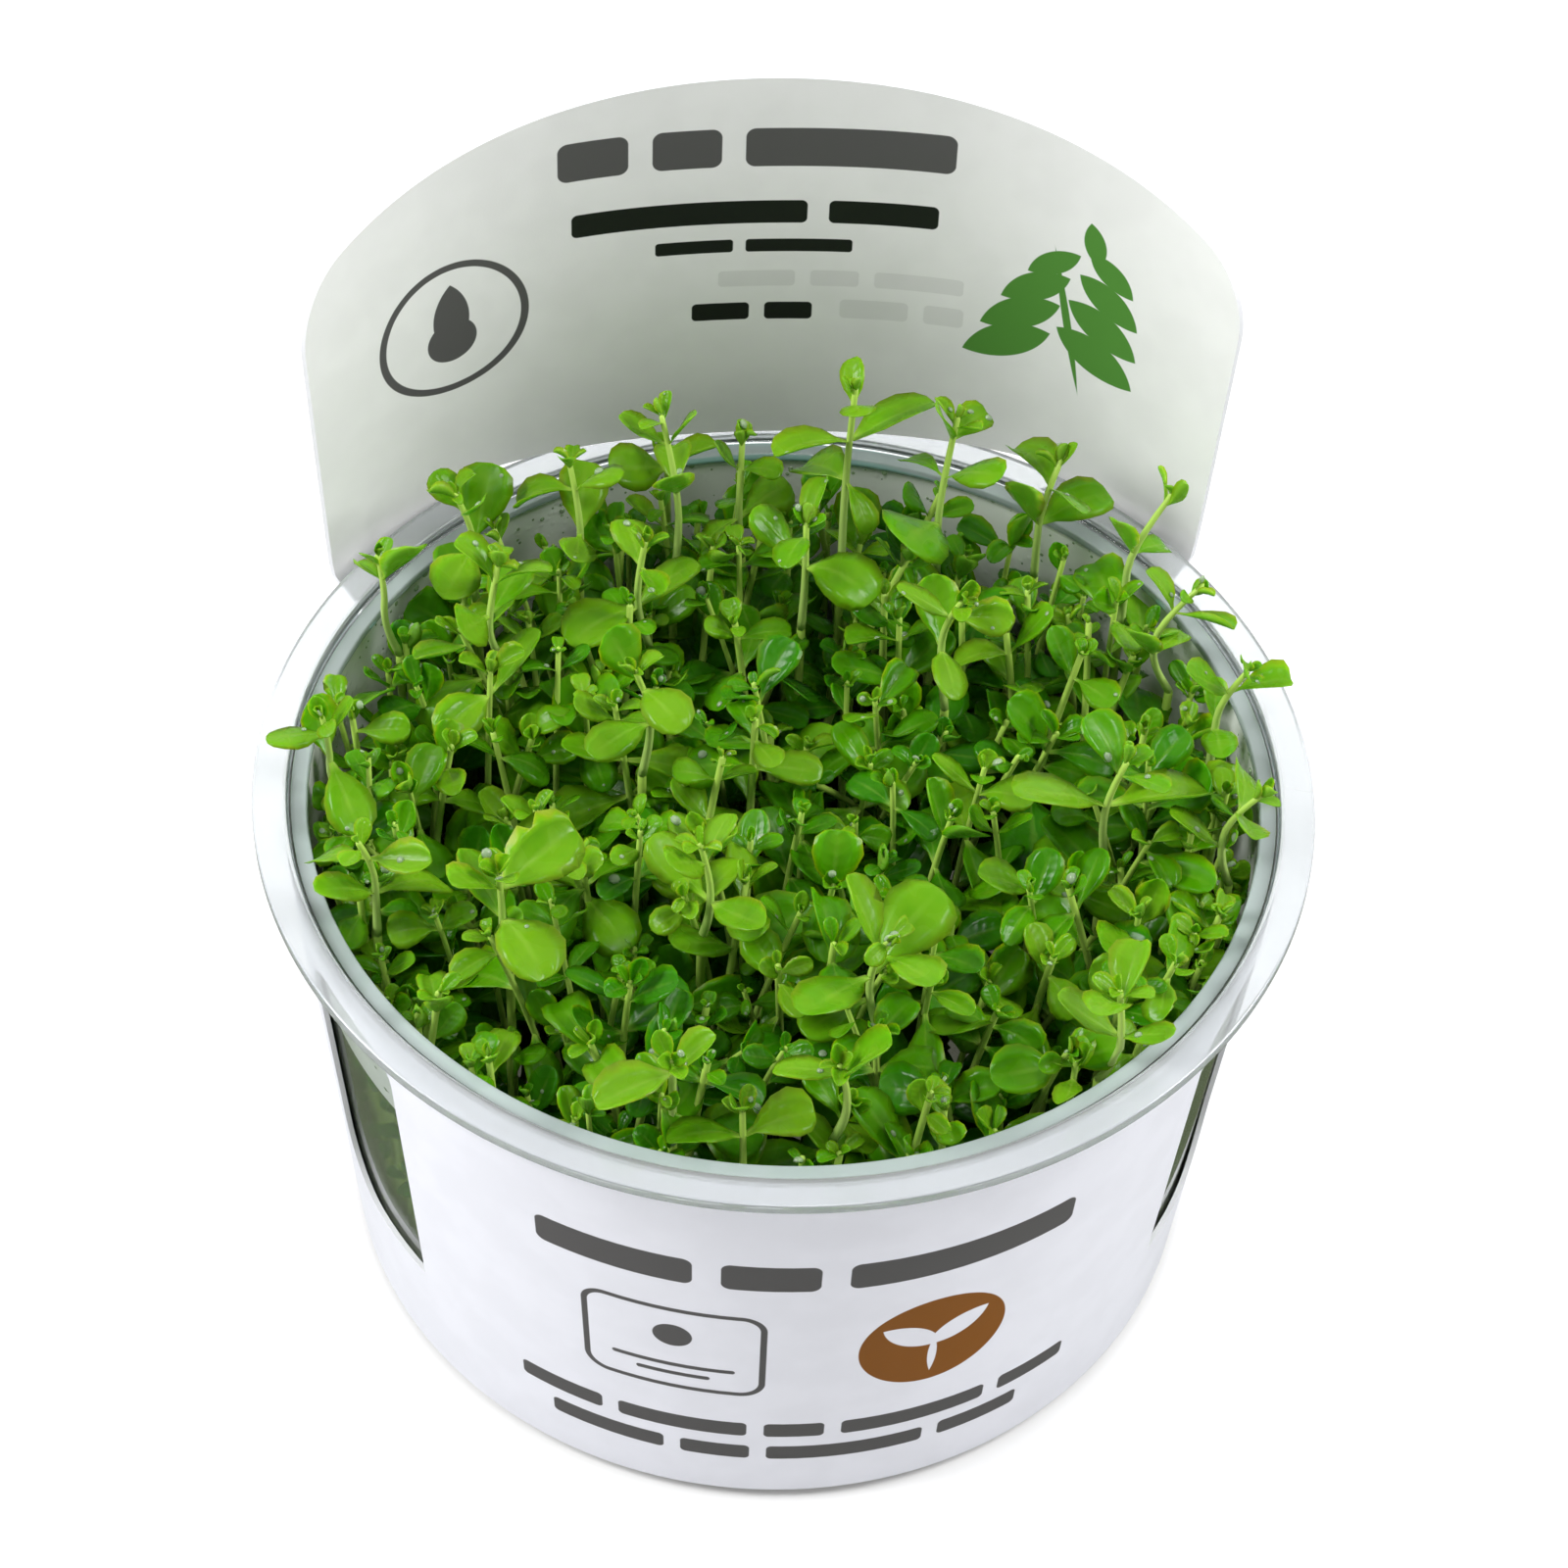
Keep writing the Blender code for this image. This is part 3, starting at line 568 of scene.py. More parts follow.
def card_net(panel_top):
    """The flat card cut into triangles: (points in degrees and millimetres, triangles)."""
    outer = card_outline(panel_top)
    holes = [slot_outline(), window_outline(1), window_outline(-1)]
    loops = [outer] + holes
    angles = np.arange(-178.0, 179.0, CARD_GRID_STEP)
    heights = np.arange(3.0, 104.0, CARD_GRID_STEP)
    grid = np.stack(np.meshgrid(angles, heights), -1).reshape(-1, 2)
    keep = inside_loop(grid, outer)
    for hole in holes:
        keep &= ~inside_loop(grid, hole)
    for loop in loops:
        keep &= ~near_loop(grid, loop, 0.9)
    places = np.concatenate(loops + [grid[keep]])
    edges = []
    start = 0
    for loop in loops:
        here = np.arange(start, start + len(loop))
        edges.append(np.stack([here, np.roll(here, -1)], -1))
        start += len(loop)
    made = delaunay_2d_cdt([tuple(place) for place in places], np.concatenate(edges).tolist(), [], 0, 1e-7)
    flat = np.array([tuple(place) for place in made[0]])
    faces = np.array([tuple(face) for face in made[2]])
    middle = flat[faces].mean(1)
    keep = inside_loop(middle, outer)
    for hole in holes:
        keep &= ~inside_loop(middle, hole)
    return flat, faces[keep]


def joined_seam(flat):
    """The points that are kept when the card's two ends meet, and the one that each flat point becomes: a
    point of the left end takes the place of the one of the right end at its height."""
    partner = np.arange(len(flat))
    ends = np.flatnonzero(flat[:, 0] > SEAM_ANGLE)
    for number in np.flatnonzero(flat[:, 0] < -SEAM_ANGLE):
        partner[number] = ends[np.argmin(np.abs(flat[ends, 1] - flat[number, 1]))]
    return np.unique(partner, return_inverse=True)


def print_places(flat, groups):
    """Where each face's corners lie on the print: millimetres from the front's middle, the height, and
    millimetres from the back's middle. A whole face is measured on the side that its middle is on."""
    lay = np.concatenate([flat[group].reshape(-1, 2) for group in groups])
    middle = np.concatenate([np.repeat(flat[group][..., 0].mean(1), group.shape[1]) for group in groups])
    from_front = np.radians(np.where(middle > 0, 180, -180) - lay[:, 0])
    return np.stack([from_front * BAND_RADIUS, lay[:, 1], np.radians(lay[:, 0]) * PANEL_RADIUS], -1)


def build_sleeve(settings):
    """The card wrapped round the cup: (r sin a, r cos a, z) on two skins, joined along every cut edge."""
    flat, faces = card_net(settings.panel_top / MM)
    a, b, c = flat[faces[:, 0]], flat[faces[:, 1]], flat[faces[:, 2]]
    area = (b[:, 0] - a[:, 0]) * (c[:, 1] - a[:, 1]) - (b[:, 1] - a[:, 1]) * (c[:, 0] - a[:, 0])
    faces = np.where(area[:, None] > 0, faces, faces[:, ::-1])
    used, wrapped = joined_seam(flat)
    turn = np.radians(flat[used, 0])
    radius = card_radius(flat[used, 0], flat[used, 1])
    half = settings.card / MM / 2
    skins = []
    for offset in (-half, half):
        reach = radius + offset
        skins.append(np.stack([reach * np.sin(turn), reach * np.cos(turn), flat[used, 1]], -1))
    count = len(used)
    inner = wrapped[faces]
    outer = inner[:, ::-1] + count
    sides = np.concatenate([faces[:, [0, 1]], faces[:, [1, 2]], faces[:, [2, 0]]])
    shown = wrapped[sides]
    _, index, times = np.unique(np.sort(shown, 1), axis=0, return_inverse=True, return_counts=True)
    rim = times[index.reshape(-1)] == 1
    edge = shown[rim]
    quads = np.stack([edge[:, 1], edge[:, 0], edge[:, 0] + count, edge[:, 1] + count], -1)
    places = print_places(flat, (sides[rim][:, [1, 0, 0, 1]], faces, faces[:, ::-1]))
    sleeve = mesh_piece(
        "card_sleeve",
        np.concatenate(skins),
        quads,
        np.concatenate([inner, outer]),
        [front_card_material(settings), back_card_material(settings), edge_card_material(settings)],
        sharp=40,
        slot_of_face=np.concatenate([np.full(len(quads), 2), np.full(len(inner), 1), np.zeros(len(outer))]),
        values={"card_place": ("CORNER", places)},
    )
    fit_piece(sleeve, "white_card", "sleeve")


def new_group(name, inputs, outputs):
    """A shader group with these sockets, given as name and kind: its tree, its net and its two ends."""
    group = bpy.data.node_groups.new(name, "ShaderNodeTree")
    for way, sockets in (("INPUT", inputs), ("OUTPUT", outputs)):
        for key, kind in sockets.items():
            group.interface.new_socket(key, in_out=way, socket_type=f"NodeSocket{kind}")
    net = Net(group)
    return group, net, net.node("NodeGroupInput").outputs, net.node("NodeGroupOutput").inputs


def bar_group():
    """Shader group: the fill and the outline of a rounded bar, from the distance to its edge."""
    vectors = {"Place": "Vector", "Centre": "Vector", "Half Size": "Vector"}
    inputs = {**vectors, "Corner": "Float", "Line": "Float"}
    group, net, given, result = new_group("rounded_bar", inputs, {"Fill": "Float", "Outline": "Float"})
    corner = net.node("ShaderNodeCombineXYZ", {0: given["Corner"], 1: given["Corner"], 2: 0.0}).outputs[0]
    away = net.vector("ABSOLUTE", net.vector("SUBTRACT", given["Place"], given["Centre"]))
    past = net.vector("ADD", net.vector("SUBTRACT", away, given["Half Size"]), corner)
    parts = net.node("ShaderNodeSeparateXYZ", {0: past}).outputs
    x, y = net.math("MAXIMUM", parts[0], 0.0), net.math("MAXIMUM", parts[1], 0.0)
    outside = net.distance(x, y)
    inside = net.math("MINIMUM", net.math("MAXIMUM", parts[0], parts[1]), 0.0)
    distance = net.math("SUBTRACT", net.math("ADD", outside, inside), given["Corner"])
    net.put(result["Fill"], net.step(-0.05, 0.05, distance, 1.0, 0.0))
    line = net.math("SUBTRACT", net.math("ABSOLUTE", distance), given["Line"])
    net.put(result["Outline"], net.step(-0.05, 0.05, line, 1.0, 0.0))
    return group


def leaf_mark_group():
    """Shader group: a pointed oval, the overlap of two discs, turned by an angle."""
    numbers = {"Turn": "Float", "Half Length": "Float", "Half Width": "Float"}
    inputs = {"Place": "Vector", "Centre": "Vector", **numbers}
    group, net, given, result = new_group("leaf_mark", inputs, {"Fill": "Float"})
    inputs = {"Vector": net.vector("SUBTRACT", given["Place"], given["Centre"]), "Angle": given["Turn"]}
    turned = net.node("ShaderNodeVectorRotate", inputs, rotation_type="Z_AXIS").outputs[0]
    parts = net.node("ShaderNodeSeparateXYZ", {0: turned}).outputs
    length2 = net.math("MULTIPLY", given["Half Length"], given["Half Length"])
    width2 = net.math("MULTIPLY", given["Half Width"], given["Half Width"])
    twice = net.math("MULTIPLY", given["Half Width"], 2.0)
    radius = net.math("DIVIDE", net.math("ADD", length2, width2), twice)
    y = net.math("ADD", net.math("ABSOLUTE", parts[1]), net.math("SUBTRACT", radius, given["Half Width"]))
    reach = net.distance(parts[0], y)
    net.put(result["Fill"], net.step(-0.05, 0.05, net.math("SUBTRACT", reach, radius), 1.0, 0.0))
    return group


class Ink:
    """Prints bars and leaf marks on a card's colour, in millimetres on the flat card."""

    def __init__(self, net, place, colour):
        self.net = net
        self.place = place
        self.colour = colour
        self.bar_tree = bpy.data.node_groups.get("rounded_bar") or bar_group()
        self.leaf_tree = bpy.data.node_groups.get("leaf_mark") or leaf_mark_group()

    def bar(self, x, y, half_x, half_y, corner, line=0.0):
        """A rounded bar's fill or, where a line's half width is given, its outline."""
        size = {"Half Size": (half_x, half_y, 0), "Corner": corner, "Line": line}
        inputs = {"Place": self.place, "Centre": (x, y, 0), **size}
        made = self.net.node("ShaderNodeGroup", inputs, node_tree=self.bar_tree)
        return made.outputs["Outline" if line else "Fill"]

    def leaf(self, x, y, turn, half_length, half_width):
        """A pointed oval's fill, turned by degrees."""
        size = {"Turn": math.radians(turn), "Half Length": half_length, "Half Width": half_width}
        inputs = {"Place": self.place, "Centre": (x, y, 0), **size}
        return self.net.node("ShaderNodeGroup", inputs, node_tree=self.leaf_tree).outputs["Fill"]

    def words(self, x, y, half_height, lengths, gap):
        """A row of plain bars, as long as words, centred on x."""
        total = sum(lengths) + gap * (len(lengths) - 1)
        left = x - total / 2
        masks = []
        for length in lengths:
            masks.append(self.bar(left + length / 2, y, length / 2, half_height, half_height * 0.45))
            left += length + gap
        return self.join(masks)

    def join(self, masks):
        """The greatest of the masks."""
        joined = masks[0]
        for mask in masks[1:]:
            joined = self.net.math("MAXIMUM", joined, mask)
        return joined

    def without(self, mask, hole):
        """The mask times 1 less the hole."""
        return self.net.math("MULTIPLY", mask, self.net.math("SUBTRACT", 1.0, hole))

    def lay(self, mask, ink):
        """Ink over the colour so far, where the mask is."""
        self.colour = self.net.blend(mask, self.colour, rgba(ink))


def card_grain_group():
    """Shader group: a faint cloudy mottle between two whites, and the height of the card's fibres."""
    inputs = {"Place": "Vector", "Shade": "Color", "White": "Color"}
    group, net, given, result = new_group("card_grain", inputs, {"Colour": "Color", "Fibre": "Float"})
    cloud = net.step(0.35, 0.65, net.noise(given["Place"], 160.0, 2.0))
    net.put(result["Colour"], net.blend(cloud, given["Shade"], given["White"]))
    net.put(result["Fibre"], net.noise(given["Place"], 5200.0, 1.0))
    return group


def card_base(name, white):
    """White coated card with its grain: the material, its net, its shader and its colour."""
    material, net, shader = plain_material(name, Roughness=0.42, IOR=1.45, Specular_IOR_Level=0.4)
    tree = bpy.data.node_groups.get("card_grain") or card_grain_group()
    inputs = {
        "Place": net.node("ShaderNodeTexCoord").outputs["Object"],
        "Shade": rgba([0.965 * channel for channel in white]),
        "White": rgba(white),
    }
    grain = net.node("ShaderNodeGroup", inputs, node_tree=tree).outputs
    net.put(shader.inputs["Normal"], net.bump(grain["Fibre"], 0.06, 0.0001))
    return material, net, shader, grain["Colour"]


def ink_on(net, colour, across):
    """Ink on the flat card, with this part of card_place across and the second one up."""
    given = net.node("ShaderNodeAttribute", attribute_name="card_place").outputs["Vector"]
    parts = net.node("ShaderNodeSeparateXYZ", {0: given}).outputs
    place = net.node("ShaderNodeCombineXYZ", {0: parts[across], 1: parts[1], 2: 0.0}).outputs[0]
    return Ink(net, place, colour)


def front_card_material(settings):
    """The outer face: plain bars and three generic marks on the front of the band."""
    # the outer face's duller white is painted shade
    material, net, shader, colour = card_base("printed_card_outside", settings.outer_white_painted_shade)
    ink = ink_on(net, colour, 0)
    ink.lay(ink.words(0, 41.5, 2.1, (15, 9, 22), 2.6), settings.grey_ink)
    ink.lay(ink.words(0, 13.4, 1.25, (9, 13, 6, 15, 8), 1.7), settings.grey_ink)
    ink.lay(ink.words(-1, 9.0, 1.25, (12, 7, 16, 9), 1.7), settings.grey_ink)
    disc = ink.bar(12.5, 27.2, 7.4, 7.4, 7.4)
    sprout = [ink.leaf(10.2, 28.6, 35, 3.6, 1.5), ink.leaf(14.8, 28.6, 145, 3.6, 1.5)]
    sprout.append(ink.leaf(12.5, 24.6, 90, 3.2, 0.45))
    ink.lay(ink.without(disc, ink.join(sprout)), settings.amber_ink)
    frame_line = ink.bar(-12.5, 27.2, 8.6, 7.0, 2.2, 0.32)
    sun = ink.bar(-12.5, 29.6, 1.9, 1.9, 1.9)
    ground = ink.join([ink.bar(-12.5, 24.2, 6.0, 0.32, 0.3), ink.bar(-12.5, 22.6, 3.6, 0.32, 0.3)])
    ink.lay(ink.join([frame_line, sun, ground]), settings.grey_ink)
    net.put(shader.inputs["Base Color"], ink.colour)
    return material


def back_card_material(settings):
    """The inner face, which is the front of the tall panel: bars, a ring with a drop, and a sprig."""
    material, net, shader, colour = card_base("printed_card_inside", settings.inside_colour)
    ink = ink_on(net, colour, 2)
    ink.lay(ink.words(-1, 95.5, 2.3, (7, 7, 21), 2.4), settings.grey_ink)
    ink.lay(ink.words(-1, 87.6, 1.4, (24, 11), 2.2), settings.black_ink)
    ink.lay(ink.words(-1, 83.4, 0.8, (8, 11), 1.3), settings.black_ink)
    ink.lay(ink.words(-1, 75.0, 1.1, (6, 5), 1.6), settings.black_ink)
    ghost = ink.join([ink.words(8, 79.2, 1.0, (8, 5, 9), 1.6), ink.words(14.5, 75.3, 1.2, (7, 4), 1.6)])
    ink.lay(ink.net.math("MULTIPLY", ghost, 0.15), settings.grey_ink)
    ring = ink.bar(-32.0, 79.0, 7.6, 7.6, 7.6, 0.4)
    drop = ink.join([ink.bar(-32.0, 77.4, 2.6, 2.6, 2.6), ink.leaf(-32.0, 80.0, 90, 4.4, 1.9)])
    ink.lay(ink.join([ring, drop]), settings.grey_ink)
    sprig = [ink.leaf(31.0, 78.0, 78, 9.0, 0.4)]
    for number, (height, reach) in enumerate(((71.5, 5.6), (75.5, 5.2), (79.5, 4.6), (83.4, 3.6))):
        lean = 31.0 - (78.0 - height) * 0.2
        size = (reach * 0.85, reach * 0.36)
        sprig.append(ink.leaf(lean - reach * 0.8, height + reach * 0.4, -26 - 3 * number, *size))
        sprig.append(ink.leaf(lean + reach * 0.8, height + reach * 0.55, 30 + 3 * number, *size))
    sprig.append(ink.leaf(33.0, 88.4, 76, 2.6, 1.1))
    ink.lay(ink.join(sprig), settings.green_ink)
    net.put(shader.inputs["Base Color"], ink.colour)
    return material


def edge_card_material(settings):
    """The cut edge: bare pulp, a little darker and rougher than the faces."""
    material, net, shader, colour = card_base("card_edge", settings.outer_white_painted_shade)
    net.put(shader.inputs["Base Color"], net.blend(0.5, colour, (0.72, 0.73, 0.72, 1)))
    shader.inputs["Roughness"].default_value = 0.8
    return material


def build_gel(settings):
    """Clear gel with a skin that climbs a little at the wall."""
    wall = inner_wall(GEL_TOP) - AIR
    foot = CUP_WALL + AIR
    low = inner_wall(2.2) - AIR
    radius = np.linspace(0, 1, 14) ** 0.6 * (wall - 0.1)
    skin = [(r, GEL_TOP - 0.5 + 0.45 * math.exp((r - wall) / 1.6), 0) for r in radius[:0:-1]]
    corners = [(0, foot, 0), (30, foot, 0), (low, foot, 1.2), (inner_wall(6) - AIR, 6, 0)]
    profile = rounded(corners + [(wall, GEL_TOP - 0.2, 0.1)] + skin + [(0, GEL_TOP - 0.5, 0)])
    material, net, shader = plain_material(
        "clear_gel", Base_Color=rgba(settings.gel_colour), Roughness=0.12, IOR=1.34, Transmission_Weight=0.85
    )
    place = net.node("ShaderNodeTexCoord").outputs["Object"]
    net.put(shader.inputs["Normal"], net.bump(net.noise(place, 180.0, 3.0), 0.25, 0.0006))
    gel = turned_piece("clear_gel", profile, 120, [material])
    fit_piece(gel, "gel", "growing_gel")


LEAF_ROWS = np.array((0.05, 0.19, 0.33, 0.51, 0.71, 0.88, 0.97))
LEAF_ACROSS = np.array((-1.0, -0.5, 0.0, 0.5, 1.0, 0.5, 0.0, -0.5))
LEAF_SKIN = np.array((0.0, -1.0, -1.0, -1.0, 0.0, 1.0, 1.0, 1.0))
LEAF_THICKNESS = 0.19


def leaf_width(s, widest):
    """Half width along a leaf, against its greatest: u^m sqrt(1 - u) over its peak, which is at widest, for a
    blade with a round tip that narrows to its stalk."""
    u = np.clip((s - 0.12) / 0.88, 1e-6, 1)
    power = 0.5 * widest / (1 - widest)
    peak = widest**power * np.sqrt(1 - widest)
    return np.maximum(u**power * np.sqrt(1 - u) / peak, 0.13 * (1 - s))


def grow_leaves(base, heading, lift, stem, length, width, bend, cup, roll, widest, tone):
    """Leaves as closed tubes of flat section.

    A leaf starts at base, turned to heading and raised by lift, on a stem along stem. Along its length s its
    middle line turns by bend, so it runs (sin(bend s), 1 - cos(bend s)) / bend. Across it, t goes from -1 to
    1 at half width w(s), and its height is cup w t^2 and a small ripple. The two skins are apart by the
    thickness times sqrt(1 - 0.8 t^2), and less where the leaf is narrow.
    """
    flat = np.stack([np.cos(heading), np.sin(heading), np.zeros_like(heading)], -1)
    up = unit(stem + 1e-9)
    out = unit(flat - up * np.sum(flat * up, -1, keepdims=True))
    ahead = out * np.cos(lift)[:, None] + up * np.sin(lift)[:, None]
    normal = up * np.cos(lift)[:, None] - out * np.sin(lift)[:, None]
    across = np.cross(normal, ahead)
    s = LEAF_ROWS[None, :]
    angle = np.where(np.abs(bend) < 0.02, 0.02, bend)[:, None]
    run = (np.sin(angle * s) / angle * length[:, None])[..., None, None]
    rise = ((1 - np.cos(angle * s)) / angle * length[:, None])[..., None, None]
    turn = (angle * s)[..., None, None]
    face = normal[:, None, None] * np.cos(turn) - ahead[:, None, None] * np.sin(turn)
    rolled = roll[:, None, None, None] * np.sqrt(s)[..., None, None]
    side = across[:, None, None] * np.cos(rolled) + face * np.sin(rolled)
    face = face * np.cos(rolled) - across[:, None, None] * np.sin(rolled)
    half = (width[:, None] / 2 * leaf_width(s, widest[:, None]))[..., None]
    t = LEAF_ACROSS[None, None, :]
    height = cup[:, None, None] * half * t**2
    height = height + 0.05 * half * np.sin(7 * s[..., None] + 9 * tone[:, None, None]) * t
    thinning = 0.5 + 0.5 * np.clip(half / (0.3 * width[:, None, None]), 0, 1)
    skin = LEAF_SKIN * LEAF_THICKNESS / 2 * np.sqrt(np.clip(1 - 0.8 * t**2, 0, 1)) * thinning
    middle = base[:, None, None] + ahead[:, None, None] * run + normal[:, None, None] * rise
    squeeze = 1 / np.sqrt(1 + cup[:, None, None] ** 2 * np.abs(t))
    rings = middle + side * (half * t * squeeze)[..., None] + face * (height + skin)[..., None]
    tip_turn = angle[:, 0]
    tip = base + ahead * (np.sin(tip_turn) / tip_turn * length)[:, None]
    tip = tip + normal * ((1 - np.cos(tip_turn)) / tip_turn * length)[:, None]
    points, quads, tris = closed_tubes(rings, base, tip)
    return points, quads, tris, leaf_values(tone)


def leaf_values(tone):
    """Four values for each point of the leaves: its share of the length, its share of the way from the
    midrib to the edge, the leaf's tone, and 1 on the upper skin or 0 on the lower one."""
    rows = len(LEAF_ROWS)
    values = np.empty((len(tone), rows * len(LEAF_ACROSS) + 2, 4))
    values[..., 0] = np.append(np.repeat(LEAF_ROWS, len(LEAF_ACROSS)), (0.0, 1.0))
    values[..., 1] = np.append(np.tile(np.abs(LEAF_ACROSS), rows), (0.0, 0.0))
    values[..., 2] = tone[:, None]
    values[..., 3] = np.append(np.tile(LEAF_SKIN, rows), (0.0, 0.0)) * 0.5 + 0.5
    return values.reshape(-1, 4)


STEM_SIDES = 6


def grow_stems(paths, radii, tone):
    """Round stems: rings of radius r round each point of the paths (stem, row, xyz), closed at both ends."""
    ahead = unit(np.gradient(paths, axis=1))
    across = unit(np.cross(ahead, np.array([0.31, 1.0, 0.12])))
    other = np.cross(ahead, across)
    angle = np.linspace(0, 2 * np.pi, STEM_SIDES, endpoint=False)[:, None]
    rings = paths[:, :, None] + radii[..., None, None] * (
        across[:, :, None] * np.cos(angle) + other[:, :, None] * np.sin(angle)
    )
    points, quads, tris = closed_tubes(rings, paths[:, 0], paths[:, -1] + ahead[:, -1] * radii[:, -1:])
    count, rows = paths.shape[:2]
    share = np.repeat(np.linspace(0, 1, rows), STEM_SIDES)
    share = np.concatenate([share, [0.0, 1.0]])
    values = np.zeros((count, rows * STEM_SIDES + 2, 4))
    values[..., 0] = share
    values[..., 2] = tone[:, None]
    return points, quads, tris, values.reshape(-1, 4)


def join_shapes(shapes):
    """One set of arrays from several, with the slot number of each face."""
    points, quads, tris, values, quad_slots, tri_slots = [], [], [], [], [], []
    offset = 0
    for slot, (p, q, t, v) in shapes:
        points.append(p)
        quads.append(q + offset)
        tris.append(t + offset)
        values.append(v)
        quad_slots.append(np.full(len(q), slot))
        tri_slots.append(np.full(len(t), slot))
        offset += len(p)
    joined = [np.concatenate(part) for part in (points, quads, tris, values)]
    return (*joined, np.concatenate(quad_slots + tri_slots))


def crop_height(x, y):
    """Height of the crop's top: its rim, plus a dome 1 - (r / R)^2, plus a rise towards the back."""
    out = np.hypot(x, y) / CROP_RADIUS
    return CROP_RIM_HEIGHT + CROP_DOME * (1 - out * out) + CROP_BACK_RISE * smooth_step(-2, 34, y)


def crop_reach(x, y):
    """How far the crop reaches from the axis: it stands a little off the wall at the back."""
    return CROP_RADIUS - CROP_BACK_GAP * smooth_step(0.2, 0.9, y / np.maximum(np.hypot(x, y), 1e-6))


def room_at(height, y):
    """How far from the axis a leaf may reach: to the wall or the lip in the cup, and to the panel over it."""
    inside = np.where(height < LIP_FOOT, inner_wall(height) - AIR, REACH_IN_LIP)
    above = np.where(y > PANEL_NEAR, REACH_AT_PANEL, REACH_OVER_CUP)
    return np.where(height < CUP_CLEARED, inside, above)


def keep_in_cup(points):
    """Ease the points near the wall inwards: past limit - e, the reach becomes limit - e + e tanh(x / e),
    where x is what goes past."""
    radius = np.hypot(points[:, 0], points[:, 1])
    ease = 1.6
    start = room_at(points[:, 2], points[:, 1]) - ease
    excess = np.maximum(radius - start, 0)
    eased = np.where(excess > 0, start + ease * np.tanh(excess / ease), radius)
    points = points.copy()
    points[:, :2] *= (eased / np.maximum(radius, 1e-6))[:, None]
    return points


def fitted_length(base, heading, lift, length):
    """Leaf lengths cut to the room between the base and the wall along the heading: the root of
    |base + x d|^2 = R^2 for the flat direction d."""
    flat = np.stack([np.cos(heading), np.sin(heading)], -1) * np.cos(np.clip(lift, 0, 1.2))[:, None]
    low = base[:, 2] + np.minimum(0, length * np.sin(lift) - 0.3 * length)
    room = room_at(np.where(base[:, 2] > 58.6, low + 0.6, low), base[:, 1]) - 0.25
    a = np.sum(flat**2, 1)
    b = np.sum(flat * base[:, :2], 1)
    c = np.sum(base[:, :2] ** 2, 1) - room**2
    reach = (-b + np.sqrt(np.maximum(b * b - a * c, 0))) / a
    return np.minimum(length, np.maximum(reach, 0))


def stem_paths(root, tip, foot, sway, rows):
    """Paths (stem, row, xyz) that rise from foot, lean to the tip as share^2, and sway by sin(pi share)."""
    share = np.linspace(0, 1, rows)[None, :, None]
    flat = root[:, None] + (tip - root)[:, None] * share**2
    flat = flat + sway[:, None] * np.sin(np.pi * share) * (1 - 0.3 * share)
    height = foot[:, None, None] + (tip[:, 2] - foot)[:, None, None] * share
    return np.concatenate([flat[..., :2], height], -1)


def along(paths, share):
    """Place and direction on each path at a share of its length, by linear steps."""
    rows = paths.shape[1]
    spot = np.clip(share, 0, 0.999) * (rows - 1)
    low = spot.astype(int)
    part = (spot - low)[:, None]
    index = np.arange(len(paths))
    start, end = paths[index, low], paths[index, low + 1]
    return start * (1 - part) + end * part, unit(end - start)


def stem_gaps(points, owner, stems):
    """Distance from points (leaf, spot, xyz) to the nearest stem but the leaf's own, at their height."""
    rows = stems.shape[1]
    foot, top = stems[:, 0, 2], stems[:, -1, 2]
    share = (points[..., 2:] - foot) / (top - foot)
    spot = np.clip(share, 0, 0.999) * (rows - 1)
    low = spot.astype(int)
    part = (spot - low)[..., None]
    index = np.arange(len(stems))
    flat = stems[index, low, :2] * (1 - part) + stems[index, low + 1, :2] * part
    gap = np.hypot(*np.moveaxis(flat - points[..., None, :2], -1, 0))
    past = points[..., 2:] > top + 1.5
    other = owner[:, None, None] == index
    return np.min(np.where(past | other | (share < 0), FAR_OFF, gap), axis=-1)


SPOTS = np.array((0.35, 0.6, 0.85))
SPOT_HALF_WIDTH = np.array((0.24, 0.38, 0.28))


def leaf_spots(place, heading, lift, length, bend):
    """Points on the leaves' middle lines, for telling whether they meet other plants."""
    flat = np.stack([np.cos(heading), np.sin(heading), np.zeros_like(heading)], -1)
    lift = lift[..., None, None]
    angle = np.where(np.abs(bend) < 0.02, 0.02, bend)[..., None]
    run = np.sin(angle * SPOTS) / angle
    rise = (1 - np.cos(angle * SPOTS)) / angle
    out = run[..., None] * np.cos(lift) - rise[..., None] * np.sin(lift)
    up = run[..., None] * np.sin(lift) + rise[..., None] * np.cos(lift)
    step = flat[..., None, :] * out + np.array([0, 0, 1.0]) * up
    return place[..., None, :] + step * length[..., None, None]


TURNS = np.radians((0, -20, 20, -40, 40))


def clear_turns(place, heading, lift, length, bend, owner, stems, taken):
    """For each pair of leaves, the turn among TURNS that keeps it clearest of other stems and leaves."""
    best = np.full(len(place), -FAR_OFF)
    chosen = np.zeros(len(place))
    for turn in TURNS:
        score = np.zeros(len(place))
        for half in (0, 1):
            spots = leaf_spots(place, heading + turn + np.pi * half, lift[half], length[half], bend[half])
            gap = stem_gaps(spots, owner, stems) - SPOT_HALF_WIDTH * length[half][:, None] - 0.4
            score += np.minimum(gap.min(1), 0.2)
            away = np.linalg.norm(spots[:, None, 1] - taken[None, :, :3], axis=-1)
            near = away - 0.42 * (length[half][:, None] + taken[:, 3])
            near = np.where(owner[:, None] == taken[:, 4], 9.0, near)
            score += 0.6 * np.minimum(near.min(1, initial=9.0), 0)
        score -= 0.25 * abs(turn)
        better = score > best
        best = np.where(better, score, best)
        chosen = np.where(better, turn, chosen)
    return chosen


